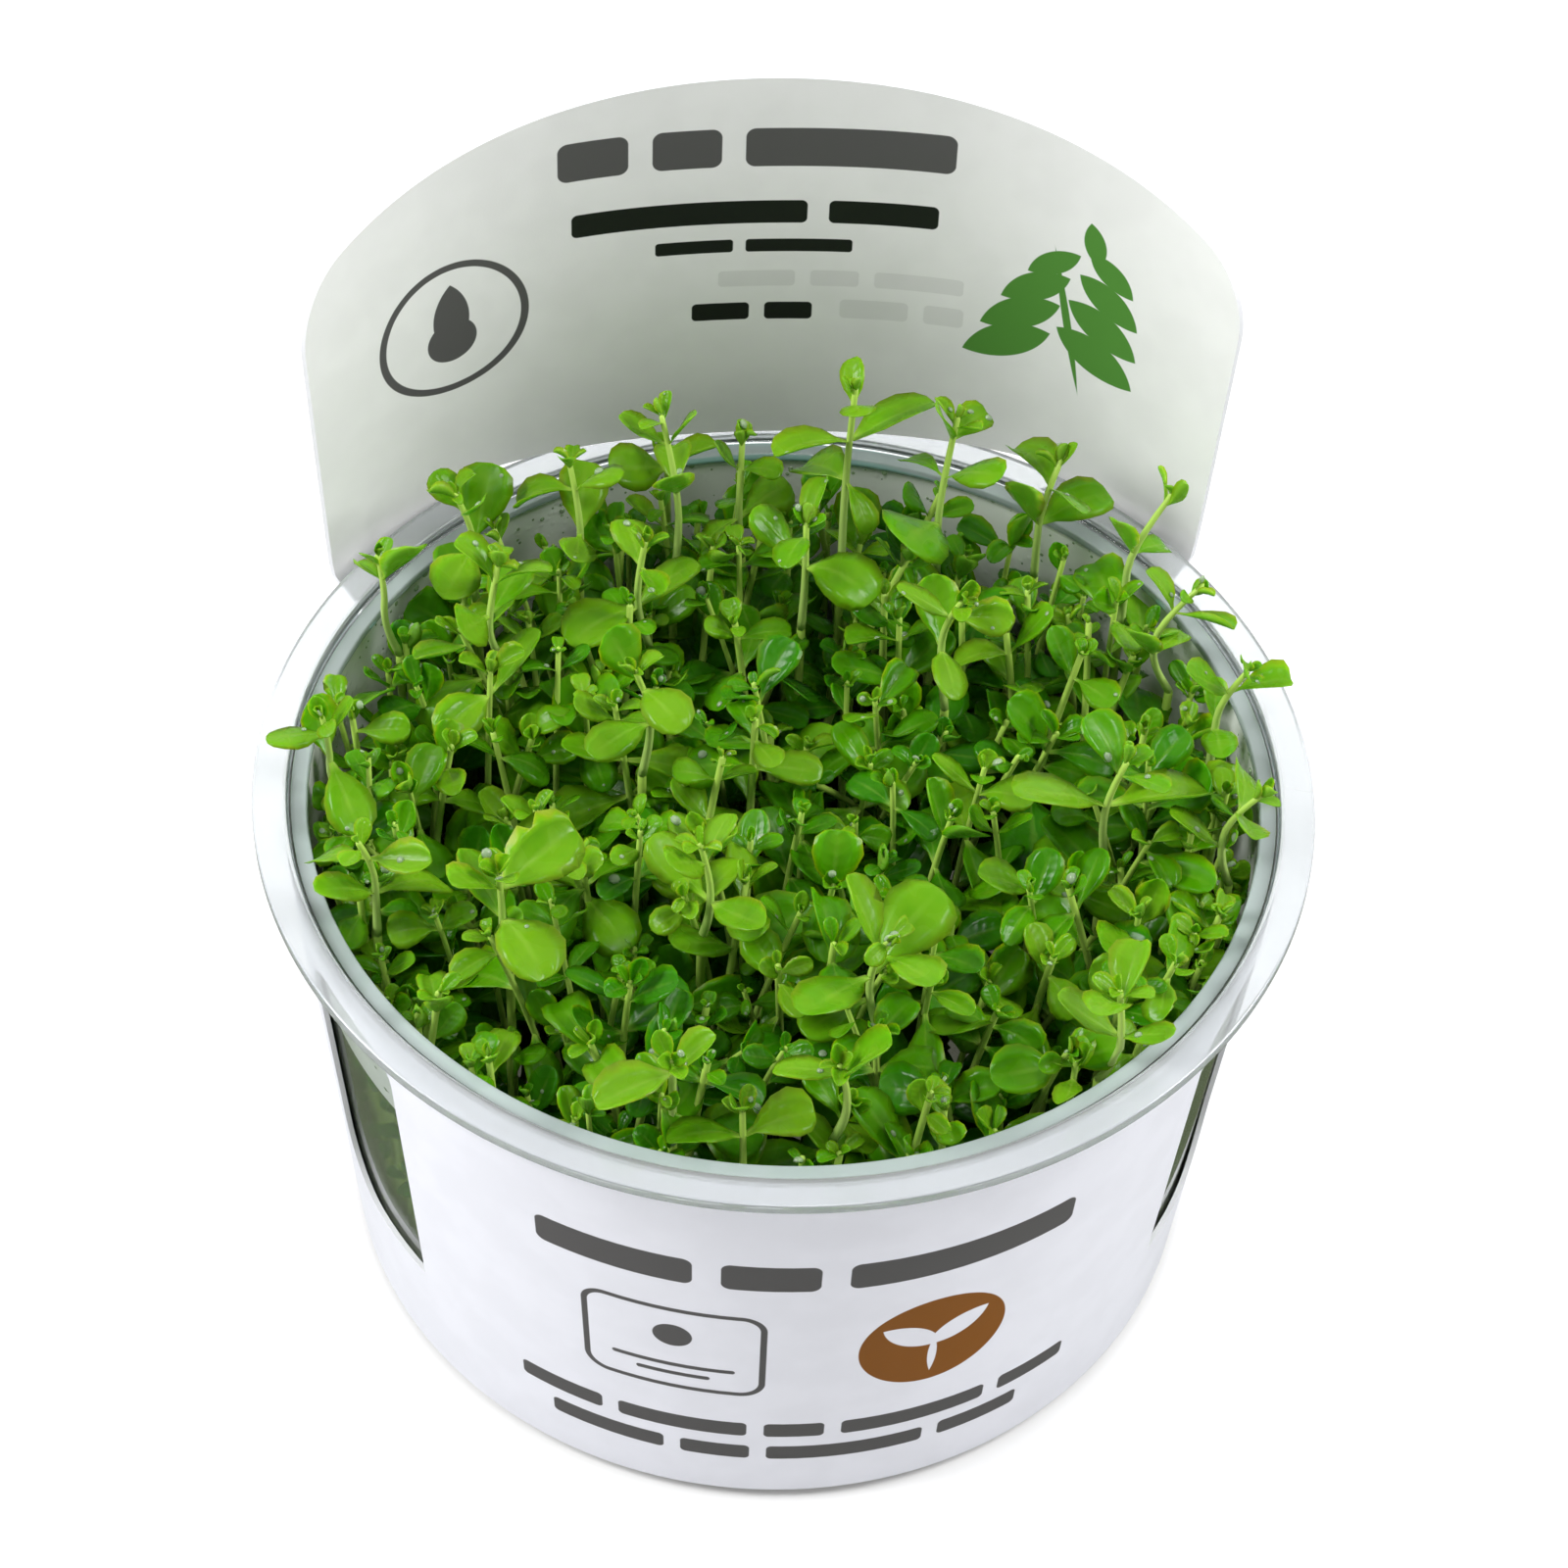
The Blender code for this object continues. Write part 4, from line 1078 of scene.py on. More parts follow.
LEAF_SIZE = np.array((0.30, 0.46, 0.86, 1.10, 1.15, 1.08, 1.0, 0.95, 0.9))
LEAF_LIFT = np.radians((68, 52, 38, 22, 10, 2, -6, -8, -8))
LEAF_CUP = np.array((0.7, 0.45, 0.3, 0.22, 0.15, 0.15, 0.15, 0.15, 0.15))
PAIR_DROP = np.array((0.4, 1.0, 2.9, 8.2, 14.4, 21.0, 28.0, 35.0, 42.0))

# How the leaves differ: each value is the scatter of a normal draw, or its mean and scatter, or the two ends
# of an even draw. The angles are in radians.
HEADING_SCATTER = 0.16
LIFT_SCATTER = 0.26
LEAF_BEND = (-0.40, 0.55)
ROLL_SCATTER = 0.34
CUP_SCATTER = 0.16
TONE_SCATTER = 0.13
WIDTH_SHARES = (0.52, 0.80)
WIDEST_PLACES = (0.56, 0.72)


def plant_tips(count, seed):
    """Tips of the crop's plantlets (x, y, height): a sunflower spread with a random shift, near the crop's
    height, lower for three in ten and in the thin places."""
    chance = np.random.default_rng(seed)
    number = np.arange(count)
    angle = number * math.pi * (3 - math.sqrt(5))
    share = np.sqrt((number + 0.5) / count)
    spot = np.stack([np.cos(angle), np.sin(angle)], -1) * share[:, None]
    spot = spot * (crop_reach(spot[:, 0], spot[:, 1]) - 2.2)[:, None]
    spot = spot + chance.normal(0, TIP_SCATTER, (count, 2))
    radius = np.hypot(*spot.T)
    spot *= np.minimum(1, (CROP_RADIUS - 1.8) / radius)[:, None]
    x, y = spot.T
    top = crop_height(x, y) - 1.0 + chance.normal(0, HEIGHT_SCATTER, count)
    low = chance.random(count) < LOW_SHARE
    top = np.where(low, top - chance.uniform(3, 10, count), top)
    for gap_x, gap_y, reach, depth in THIN_PLACES:
        away = np.hypot(x - gap_x, y - gap_y)
        top = top - depth * np.exp(-((away / reach) ** 2)) * chance.uniform(0.3, 1.25, count)
    return np.stack([x, y, top], -1)


def crop_plants(settings):
    """The crop's plantlets: their stems' paths, leaf sizes, turns and tones. Short ones fill in along the
    wall and behind the windows."""
    chance = np.random.default_rng(settings.seed + 10)
    tips = plant_tips(settings.plants, settings.seed)
    edge = settings.edge_plants
    turn = np.linspace(0, 2 * np.pi, edge, endpoint=False) + chance.normal(0, 0.05, edge)
    tall = np.where(np.arange(edge) % 2, chance.uniform(30, 50, edge), chance.uniform(51, 58.5, edge))
    out = inner_wall(tall) - chance.uniform(2.0, 4.2, edge)
    out -= CROP_BACK_GAP * smooth_step(0.2, 0.9, np.sin(turn))
    edge_tips = np.stack([out * np.cos(turn), out * np.sin(turn), tall], -1)
    behind = settings.window_plants
    side = np.where(np.arange(behind) % 2, 1, -1)
    turn = np.radians(-90 + side * (WINDOW_EDGE_ANGLE + chance.uniform(-3, 28, behind)))
    tall = chance.uniform(24, 53, behind)
    out = inner_wall(tall) - 1.3 - 6.0 * chance.random(behind) ** 2
    window_tips = np.stack([out * np.cos(turn), out * np.sin(turn), tall], -1)
    tips = np.concatenate([tips, edge_tips, window_tips])
    count = len(tips)
    lean = np.where(np.arange(count) < settings.plants, 1.0, 0.25)[:, None]
    root = tips[:, :2] * (1 - 0.07 * lean) + chance.normal(0, ROOT_SCATTER, (count, 2)) * lean
    root *= np.minimum(1, ROOT_REACH / np.maximum(np.hypot(*root.T), 1e-6))[:, None]
    root = np.concatenate([root, np.zeros((count, 1))], 1)
    sway = np.concatenate([chance.normal(0, CROP_SWAY, (count, 2)) * lean, np.zeros((count, 1))], 1)
    return {
        "paths": stem_paths(root, tips, np.full(count, GEL_TOP + 0.1), sway, STEM_ROWS),
        "leaf": settings.leaf_length / MM * np.clip(chance.lognormal(0, 0.19, count), 0.7, 1.5),
        "turn": chance.uniform(0, 2 * np.pi, count),
        "tone": chance.beta(2.2, 2.2, count),
        "pairs": np.full(count, 9),
    }


def tall_plants(settings):
    """The tall plantlets: stems' paths from their sockets up, leaf sizes, turns and tones."""
    rows = np.array(TALL_PLANTS)
    x, y, z, lean, leaf, turn = rows.T
    ground = crop_height(x, y) + STEM_CLEARANCE
    inward = 1 - (z - ground) * np.tan(np.radians(lean)) / np.hypot(x, y)
    foot = ground - SOCKET_DEPTH + 0.2
    share = np.linspace(0, 1, STEM_ROWS)
    height = foot[:, None] + (z - foot)[:, None] * share
    bend = np.clip((height - ground[:, None]) / (z - ground)[:, None], 0, 1) ** 1.6
    root = rows[:, :2] * inward[:, None]
    flat = root[:, None] + (rows[:, :2] - root)[:, None] * bend[..., None]
    pairs = np.clip(((z - ground + 2.4) / PAIR_SPACING).astype(int), 1, 3)
    chance = np.random.default_rng(settings.seed + 2)
    flat = flat + chance.normal(0, TALL_SWAY, (len(rows), 1, 2)) * np.sin(np.pi * share)[:, None]
    return {
        "paths": np.concatenate([flat, height[..., None]], -1),
        "leaf": leaf * TALL_LEAF_GROWTH,
        "turn": np.radians(turn) + np.pi / 2 * (pairs + 1),
        "tone": 0.62 + 0.25 * chance.random(len(rows)),
        "pairs": pairs + 2,
    }


def dress_stems(plants, stretch, chance, stems, first, taken):
    """The leaves of all plants, pair by pair from the top: each pair is turned a quarter from the one above,
    and then a little further where that keeps it clear of other stems and leaves."""
    paths = plants["paths"]
    count = len(paths)
    owner = np.arange(count) + first
    tall = paths[:, -1, 2] - paths[:, 0, 2]
    reach = stretch * chance.uniform(0.75, 1.25, count)
    leaves = []
    for pair in range(plants["pairs"].max()):
        size = LEAF_SIZE[pair] * plants["leaf"] * chance.uniform(0.82, 1.12, count)
        share = 1 - (PAIR_DROP[pair] * reach + chance.normal(0, 0.25, count)) / tall
        place, ahead = along(paths, share)
        heading = plants["turn"] + np.pi / 2 * pair + chance.normal(0, HEADING_SCATTER, count)
        lift = LEAF_LIFT[pair] + chance.normal(0, LIFT_SCATTER, (2, count))
        bend = chance.normal(*LEAF_BEND, (2, count))
        length = size * chance.uniform(0.84, 1.16, (2, count))
        heading = heading + clear_turns(place, heading, lift, length, bend, owner, stems, taken)
        # tone falls with each pair's age, and with its depth under the crop's top: painted shade in the
        # crop's depths
        shade_depth = np.maximum(crop_height(place[:, 0], place[:, 1]) - place[:, 2], 0)
        tone = plants["tone"] + 0.24 - 0.05 * pair - 0.022 * shade_depth
        for half in (0, 1):
            way = heading + np.pi * half
            whole = length[half]
            fitted = fitted_length(place, way, lift[half], whole)
            spots = leaf_spots(place, way, lift[half], fitted, bend[half])
            gap = (stem_gaps(spots, owner, stems) - 0.5 * SPOT_HALF_WIDTH * fitted[:, None]).min(1)
            keep = (share > 0.06) & (fitted > 0.5 * whole) & (pair < plants["pairs"])
            keep &= (gap > 0.3) | (pair < 2)
            keep &= chance.random(count) > (0.03 if pair < 4 else 0.15)
            leaf = {
                "base": place,
                "heading": way,
                "lift": lift[half],
                "stem": ahead,
                "length": fitted,
                "width": fitted * chance.uniform(*WIDTH_SHARES, count),
                "bend": bend[half],
                "cup": LEAF_CUP[pair] + chance.normal(0, CUP_SCATTER, count),
                "roll": chance.normal(0, ROLL_SCATTER, count),
                "widest": chance.uniform(*WIDEST_PLACES, count),
                "tone": np.clip(tone + chance.normal(0, TONE_SCATTER, count), 0, 1),
                "owner": owner,
            }
            leaves.append({key: value[keep] for key, value in leaf.items()})
            row = np.concatenate([spots[:, 1], fitted[:, None], owner[:, None]], 1)
            taken = np.concatenate([taken, row[keep]])
    return {key: np.concatenate([leaf[key] for leaf in leaves]) for key in leaves[0]}, taken


def all_plants(settings):
    """Crop and tall plantlets with their leaves."""
    crop, tall = crop_plants(settings), tall_plants(settings)
    stems = np.concatenate([tall["paths"], crop["paths"]])
    chance = np.random.default_rng(settings.seed + 1)
    nothing = np.zeros((0, 5))
    tall_leaves, taken = dress_stems(tall, 0.85, chance, stems, 0, nothing)
    crop_leaves, _ = dress_stems(crop, 1.0, chance, stems, len(tall["leaf"]), taken)
    return crop, crop_leaves, tall, tall_leaves


DROP_SIDES = 8

# Numbers of the material slots of a plant piece, in the order of plant_materials
LEAF_SLOT = 0
STEM_SLOT = 1
WATER_SLOT = 2


def grow_drops(centre, normal, radius, height):
    """Beads of water as closed domes: rings of radius r sqrt(1 - u^2) at height u h over the surface."""
    side = unit(np.cross(normal, np.array([0.21, 0.13, 1.0])))
    other = np.cross(normal, side)
    angle = np.linspace(0, 2 * np.pi, DROP_SIDES, endpoint=False)[:, None]
    share = np.array((0.0, 0.5, 0.85))[None, :, None, None]
    flat = (side[:, None] * np.cos(angle) + other[:, None] * np.sin(angle))[:, None]
    rings = centre[:, None, None] + flat * (radius[:, None, None, None] * np.sqrt(1 - share**2))
    rings = rings + (normal * height[:, None])[:, None, None] * share
    top = normal * height[:, None]
    points, quads, tris = closed_tubes(rings, centre - 0.1 * top, centre + top)
    return points, quads, tris, np.zeros((len(points), 4))


def drops_on_leaves(points, count, share, chance):
    """Beads of water on the upper skin of some of the leaves, from the leaves' grids."""
    grids = points.reshape(count, -1, 3)[:, :-2].reshape(count, len(LEAF_ROWS), len(LEAF_ACROSS), 3)
    leaf = np.flatnonzero(chance.random(count) < share)
    row = chance.integers(2, 6, len(leaf))
    column = chance.integers(5, 8, len(leaf))
    along_leaf = grids[leaf, row + 1, column] - grids[leaf, row - 1, column]
    across = grids[leaf, row, 7] - grids[leaf, row, 5]
    normal = unit(np.cross(across, along_leaf))
    middle = grids[leaf, row, 6] - grids[leaf, row, 2]
    normal *= np.sign(np.sum(normal * middle, -1, keepdims=True))
    radius = np.clip(chance.lognormal(-1.3, 0.45, len(leaf)), 0.1, 0.6)
    return grow_drops(grids[leaf, row, column], normal, radius, radius * chance.uniform(0.5, 0.8, len(leaf)))


def leaf_shapes(leaves, chosen, wet, chance):
    """The chosen leaves with beads of water on a share of them, as shapes with their slot numbers."""
    shape = {key: value[chosen] for key, value in leaves.items() if key != "owner"}
    grown = grow_leaves(**shape)
    return [(LEAF_SLOT, grown), (WATER_SLOT, drops_on_leaves(grown[0], len(shape["base"]), wet, chance))]


def build_wall_dew(settings):
    """Fine beads of water on the inside of the wall, over the crop."""
    chance = np.random.default_rng(settings.seed + 4)
    count = settings.wall_drops
    angle = chance.uniform(0, 2 * np.pi, count)
    height = DEW_TOP - DEW_DEPTH * chance.random(count) ** 1.5
    normal = -np.stack([np.cos(angle), np.sin(angle), np.zeros(count)], -1)
    centre = -normal * (inner_wall(height) - 0.01)[:, None] + height[:, None] * np.array([0, 0, 1.0])
    radius = np.clip(chance.lognormal(-1.75, 0.4, count), 0.07, 0.4)
    points, quads, tris, _ = grow_drops(centre, normal, radius, radius * 0.55)
    fit_piece(mesh_piece("wall_dew", points, quads, tris, [water_material()]), "clear_plastic", "cup")


def leaf_material(settings):
    """Fresh leaf: tone from old to young and darker deep in the crop (painted shade), pale midrib and stalk,
    fine veins and a moist gloss.
    """
    material, net, shader = plain_material("fresh_leaf", IOR=1.42, Specular_IOR_Level=0.22)
    shader.inputs["Subsurface Weight"].default_value = 0.4
    shader.inputs["Subsurface Radius"].default_value = (0.45, 0.90, 0.12)
    shader.inputs["Subsurface Scale"].default_value = 0.001
    given = net.node("ShaderNodeAttribute", attribute_name="leaf_place")
    parts = net.node("ShaderNodeSeparateColor", {0: given.outputs["Color"]}).outputs
    s, t, tone = parts[0], parts[1], parts[2]
    skin = given.outputs["Alpha"]
    place = net.node("ShaderNodeTexCoord").outputs["Object"]
    mottle = net.noise(place, 420.0, 1.0)
    shift = net.math("MULTIPLY_ADD", net.math("SUBTRACT", mottle, 0.5), 0.5, tone)
    ramp = net.node("ShaderNodeValToRGB", {0: shift})
    stops = ramp.color_ramp.elements
    stops[0].color = rgba(settings.old_leaf)
    stops[0].position = 0.1
    stops[1].color = rgba(settings.young_leaf)
    stops[1].position = 0.92
    middle = stops.new(0.52)
    middle.color = rgba(settings.mid_leaf)
    colour = ramp.outputs[0]
    rib = net.math("MULTIPLY", net.step(0.02, 0.16, t, 1.0, 0.0), net.step(0.5, 0.95, s, 0.8, 0.1))
    stalk = net.step(0.03, 0.22, s, 1.0, 0.0)
    pale = net.math("MAXIMUM", net.math("MULTIPLY", rib, 0.16), net.math("MULTIPLY", stalk, 0.6))
    colour = net.blend(pale, colour, rgba(settings.stem_colour))
    under = net.step(0.2, 0.45, skin, 0.22, 0.0)
    colour = net.blend(under, colour, rgba(settings.stem_colour))
    net.put(shader.inputs["Base Color"], colour)
    wave = net.math("MULTIPLY", net.math("SUBTRACT", s, net.math("MULTIPLY", t, 0.16)), 42.0)
    veins = net.math("MULTIPLY_ADD", net.math("SINE", wave), 0.5, 0.5)
    relief = net.math("MULTIPLY_ADD", veins, 0.3, net.math("SUBTRACT", 1.0, rib))
    net.put(shader.inputs["Normal"], net.bump(relief, 0.35, 0.00012))
    net.put(shader.inputs["Roughness"], net.step(0.35, 0.65, mottle, 0.17, 0.36))
    return material


def stem_material(settings):
    """Pale juicy stem, whiter towards the root."""
    material, net, shader = plain_material("pale_stem", Roughness=0.3, IOR=1.4, Specular_IOR_Level=0.4)
    given = net.node("ShaderNodeAttribute", attribute_name="leaf_place")
    parts = net.node("ShaderNodeSeparateColor", {0: given.outputs["Color"]}).outputs
    place = net.node("ShaderNodeTexCoord").outputs["Object"]
    cloud = net.math("MULTIPLY_ADD", net.noise(place, 300.0), 0.3, net.math("SUBTRACT", parts[0], 0.15))
    root = tuple(0.85 * channel + 0.07 for channel in settings.stem_colour)
    colour = net.blend(net.step(0.2, 1.0, cloud), rgba(root), rgba(settings.stem_colour))
    net.put(shader.inputs["Base Color"], colour)
    net.put(shader.inputs["Normal"], net.bump(net.noise(place, 900.0), 0.15, 0.0002))
    return material


def water_material():
    """Beads of water with a pale green base colour: painted light that stands in for the lit surface seen
    through them.
    """
    known = bpy.data.materials.get("water")
    if known:
        return known
    # painted light: a pale green base that stands in for the lit surface seen through the bead
    painted_light_tint = rgba((0.62, 0.80, 0.52))
    return plain_material("water", Base_Color=painted_light_tint, Roughness=0.03, IOR=1.4, Transmission_Weight=0.6)[0]


def plant_materials(settings):
    """Leaf, stem and water, made once and shared by all plant pieces."""
    return [
        bpy.data.materials.get("fresh_leaf") or leaf_material(settings),
        bpy.data.materials.get("pale_stem") or stem_material(settings),
        water_material(),
    ]


def plant_piece(name, shapes, settings):
    """One mesh from leaf and stem shapes, kept clear of the cup."""
    points, quads, tris, values, slots = join_shapes(shapes)
    return mesh_piece(
        name,
        keep_in_cup(points),
        quads,
        tris,
        plant_materials(settings),
        slot_of_face=slots,
        values={"leaf_place": ("POINT", values)},
    )


CROP_PIECES = 4
WET_CROP_LEAVES = 0.16
WET_TALL_LEAVES = 0.3


def build_plants(settings):
    """Every plantlet, grown together so that they keep clear of each other. The crop comes in sectors, so
    that each piece stays a size that tools can hold, and each tall plantlet stands where its solid stands."""
    crop, crop_leaves, tall, tall_leaves = all_plants(settings)
    chance = np.random.default_rng(settings.seed + 3)
    paths = crop["paths"]
    radii = np.linspace(*CROP_STEM_RADII, STEM_ROWS)[None] * chance.uniform(0.85, 1.15, (len(paths), 1))
    # the tall plantlets' stems go on below their sockets, down to the gel
    feet = tall["paths"][:, 0]
    height = np.linspace(GEL_TOP + 0.1, feet[:, 2] - 0.05, STEM_ROWS).T
    stubs = np.concatenate([np.repeat(feet[:, None, :2], STEM_ROWS, 1), height[..., None]], -1)
    paths = np.concatenate([paths, stubs])
    radii = np.concatenate([radii, np.full((len(stubs), STEM_ROWS), TALL_STEM_RADII[0])])
    tone = np.concatenate([crop["tone"], tall["tone"]])
    sector = sector_of(paths[:, -1])
    leaf_sector = sector_of(crop["paths"][crop_leaves["owner"] - len(tall["leaf"]), -1])
    for number in range(CROP_PIECES):
        mine = sector == number
        stems = grow_stems(paths[mine], radii[mine], tone[mine])
        shapes = leaf_shapes(crop_leaves, leaf_sector == number, WET_CROP_LEAVES, chance)
        shapes.append((STEM_SLOT, stems))
        fit_piece(plant_piece(f"carpet_{number + 1}", shapes, settings), "leaf", "leaf_carpet")
    radii = np.linspace(*TALL_STEM_RADII, STEM_ROWS)[None]
    for number in range(len(TALL_PLANTS)):
        stem = grow_stems(tall["paths"][number : number + 1], radii, tall["tone"][number : number + 1])
        shapes = leaf_shapes(tall_leaves, tall_leaves["owner"] == number, WET_TALL_LEAVES, chance)
        shapes.append((STEM_SLOT, stem))
        name = f"plantlet_{number + 1:02d}"
        fit_piece(plant_piece(f"tall_{name}", shapes, settings), "leaf", name)


def sector_of(places):
    """Number of the sector round the axis that each place is in."""
    turn = np.arctan2(places[:, 1], places[:, 0]) / (2 * np.pi) + 0.5
    return np.minimum((turn * CROP_PIECES).astype(int), CROP_PIECES - 1)


def floor_material(settings):
    """Pale floor that glows a little to the camera, and is painted dark green where plastic mirrors it: a
    painted reflection.
    """
    material, net, shader = plain_material("pale_floor", Roughness=0.7)
    material.cycles.emission_sampling = "NONE"
    path = net.node("ShaderNodeLightPath").outputs
    mirrored = net.math("MINIMUM", path["Glossy Depth"], 1.0)
    seen = net.math("MAXIMUM", path["Is Camera Ray"], path["Is Transmission Ray"])
    through = net.math("MULTIPLY", seen, net.math("SUBTRACT", 1.0, mirrored))
    # painted reflection: in glossy rays the floor takes a dark green colour
    colour = net.blend(mirrored, rgba(settings.floor_colour), rgba(settings.painted_floor_reflection))
    net.put(shader.inputs["Base Color"], colour)
    shader.inputs["Emission Color"].default_value = (1, 1, 1, 1)
    net.put(shader.inputs["Emission Strength"], net.math("MULTIPLY", through, settings.floor_glow))
    return material


def build_floor(settings):
    """A wide flat floor, a hair's breadth under the cup's base."""
    reach = np.linspace(-FLOOR_HALF_WIDTH, FLOOR_HALF_WIDTH, 3)
    x, y = np.meshgrid(reach, reach, indexing="ij")
    points = np.stack([x, y, np.full_like(x, -FLOOR_DROP)], -1).reshape(-1, 3)
    here = np.arange(9).reshape(3, 3)
    quads = np.stack([here[:-1, :-1], here[1:, :-1], here[1:, 1:], here[:-1, 1:]], -1).reshape(-1, 4)
    floor = mesh_piece("floor", points, quads, (), [floor_material(settings)])


def build_world(settings):
    """White surroundings whose strength grows to both sides as |x|^3, and to the back as y."""
    world = bpy.data.worlds.new("studio")
    world.use_nodes = True
    net = Net(world.node_tree)
    background = world.node_tree.nodes["Background"]
    background.inputs["Color"].default_value = (1, 1, 1, 1)
    way = net.node("ShaderNodeTexCoord").outputs["Generated"]
    parts = net.node("ShaderNodeSeparateXYZ", {0: way}).outputs
    beside = net.math("ABSOLUTE", net.math("MULTIPLY", net.math("MULTIPLY", parts[0], parts[0]), parts[0]))
    strength = net.math("MULTIPLY_ADD", beside, settings.side_strength, settings.world_strength)
    strength = net.math("MULTIPLY_ADD", net.math("MAXIMUM", parts[1], 0.0), settings.back_strength, strength)
    net.put(background.inputs["Strength"], strength)
    bpy.context.scene.world = world


def build_lights(settings):
    """Round softboxes that face the plants."""
    powers = (settings.key_power, settings.fill_power, settings.top_power)
    for (name, place, size), power in zip(SOFTBOXES, powers):
        light = bpy.data.lights.new(name, "AREA")
        light.shape = "DISK"
        light.size = size
        light.energy = power
        back = unit(np.array(place, float) - np.array(LIGHT_TARGET, float))
        right = unit(np.cross((0, 0, 1.0), back))
        lamp = bpy.data.objects.new(name, light)
        lamp.matrix_world = Matrix.Translation(place) @ axes_matrix(right, back)
        bpy.context.scene.collection.objects.link(lamp)


def build_camera():
    """The photo's viewpoint: about 48 degrees above level and a little to the left."""
    data = bpy.data.cameras.new("camera")
    data.lens = CAMERA_LENS
    data.sensor_width = 36.0
    data.clip_start = 0.01
    camera = bpy.data.objects.new("camera", data)
    right = unit(np.array(CAMERA_RIGHT))
    back = unit(np.cross(right, CAMERA_UP))
    camera.matrix_world = Matrix.Translation(CAMERA_PLACE) @ axes_matrix(right, back)
    bpy.context.scene.collection.objects.link(camera)
    bpy.context.scene.camera = camera


def axes_matrix(right, back):
    """The rotation that turns +X to right and +Z to back, so that -Z looks ahead."""
    up = np.cross(back, right)
    return Matrix([(*row, 0.0) for row in np.stack([right, up, back], -1)] + [(0, 0, 0, 1)])


def colour_setting(name, description, default):
    """A colour that a user can change."""
    return bpy.props.FloatVectorProperty(
        name=name, description=description, default=default, subtype="COLOR", min=0.0, max=1.0
    )


def length_setting(name, description, default):
    """A length that a user can change, in metres."""
    return bpy.props.FloatProperty(
        name=name, description=description, default=default, unit="LENGTH", min=0.0
    )


def share_setting(name, description, default):
    """A share from 0 to 1 that a user can change."""
    return bpy.props.FloatProperty(
        name=name, description=description, default=default, subtype="FACTOR", min=0.0, max=1.0
    )


def strength_setting(name, description, default):
    """A strength of light that a user can change."""
    return bpy.props.FloatProperty(name=name, description=description, default=default, min=0.0)


def power_setting(name, description, default):
    """A light's power that a user can change, in watts."""
    return bpy.props.FloatProperty(name=name, description=description, default=default, unit="POWER", min=0.0)


def count_setting(name, description, default):
    """A number of like things that a user can change."""
    return bpy.props.IntProperty(name=name, description=description, default=default, min=10)


class CupSettings(bpy.types.PropertyGroup):
    """Sizes and finish of the clear cup and the gel."""

    flange_radius: length_setting("Flange radius", "Outer radius of the cup's flange", CUP_CORNER[0])
    height: length_setting("Height", "Height of the cup over its base", CUP_CORNER[2])
    wall: length_setting("Wall", "Thickness of the cup's wall", CUP_WALL * MM)
    roughness: share_setting("Roughness", "Haze of the plastic", 0.04)
    tint: colour_setting("Tint", "Colour of the plastic", (0.93, 0.955, 0.955))
    depth_tint: colour_setting("Depth tint", "Colour that thick plastic lets through", (0.60, 0.84, 0.80))
    mist_tint: colour_setting("Mist tint", "Colour of the misted wall", (0.93, 0.97, 0.91))
    flange_tint: colour_setting("Flange tint", "Colour of the flange", (0.82, 0.84, 0.86))
    lip_tint: colour_setting("Lip tint", "Colour of the lip", (0.76, 0.88, 0.86))
    # painted shade: a dark tint on the foot for the shadow and the gel seen through it
    foot_painted_shade: colour_setting("Foot tint", "Colour of the gel and shade seen in the foot", (0.10, 0.11, 0.04))
    mist_clearness: share_setting("Mist", "Share of the light that passes the misted wall", 0.06)
    flange_clearness: share_setting("Flange", "Share of the light that passes the flange", 0.72)
    lip_clearness: share_setting("Lip", "Share of the light that passes the lip", 0.6)
    gel_colour: colour_setting("Gel", "Colour of the gel", (0.80, 0.80, 0.62))


class SleeveSettings(bpy.types.PropertyGroup):
    """Sizes and inks of the card sleeve."""

    card: length_setting("Card", "Thickness of the card", 0.0005)
    panel_top: length_setting("Panel top", "Height of the panel's highest point", PANEL_TOP)
    # the outer face's white is duller than the inner face's white of the same card: painted shade on the
    # sleeve's front
    outer_white_painted_shade: colour_setting("Card", "Colour of the card's outer face", (0.835, 0.843, 0.908))
    inside_colour: colour_setting("Card inside", "Colour of the card's inner face", (0.935, 0.93, 0.935))
    grey_ink: colour_setting("Grey ink", "Ink of the large bars and frames", (0.105, 0.100, 0.105))
    black_ink: colour_setting("Black ink", "Ink of the small bars", (0.012, 0.012, 0.014))
    amber_ink: colour_setting("Amber ink", "Ink of the disc on the front", (0.26, 0.085, 0.006))
    green_ink: colour_setting("Green ink", "Ink of the sprig on the panel", (0.09, 0.27, 0.045))


class CropSettings(bpy.types.PropertyGroup):
    """Count, size and colours of the plantlets."""

    plants: count_setting("Plantlets", "How many plantlets the crop has", 185)
    window_plants: count_setting("Behind windows", "How many short plantlets fill the windows", 90)
    edge_plants: count_setting("Edge", "How many short plantlets line the wall", 100)
    seed: bpy.props.IntProperty(name="Seed", description="Start of the random draws", default=5)
    wall_drops: count_setting("Wall drops", "Beads of water on the wall", 700)
    leaf_length: length_setting("Leaf length", "Usual length of a leaf", 0.0063)
    young_leaf: colour_setting("Young leaf", "Colour of the youngest leaves", (0.140, 0.320, 0.007))
    mid_leaf: colour_setting("Full leaf", "Colour of the usual leaf", (0.074, 0.262, 0.001))
    old_leaf: colour_setting("Old leaf", "Colour of the oldest leaves", (0.027, 0.165, 0.001))
    stem_colour: colour_setting("Stem", "Colour of stems and midribs", (0.420, 0.640, 0.100))


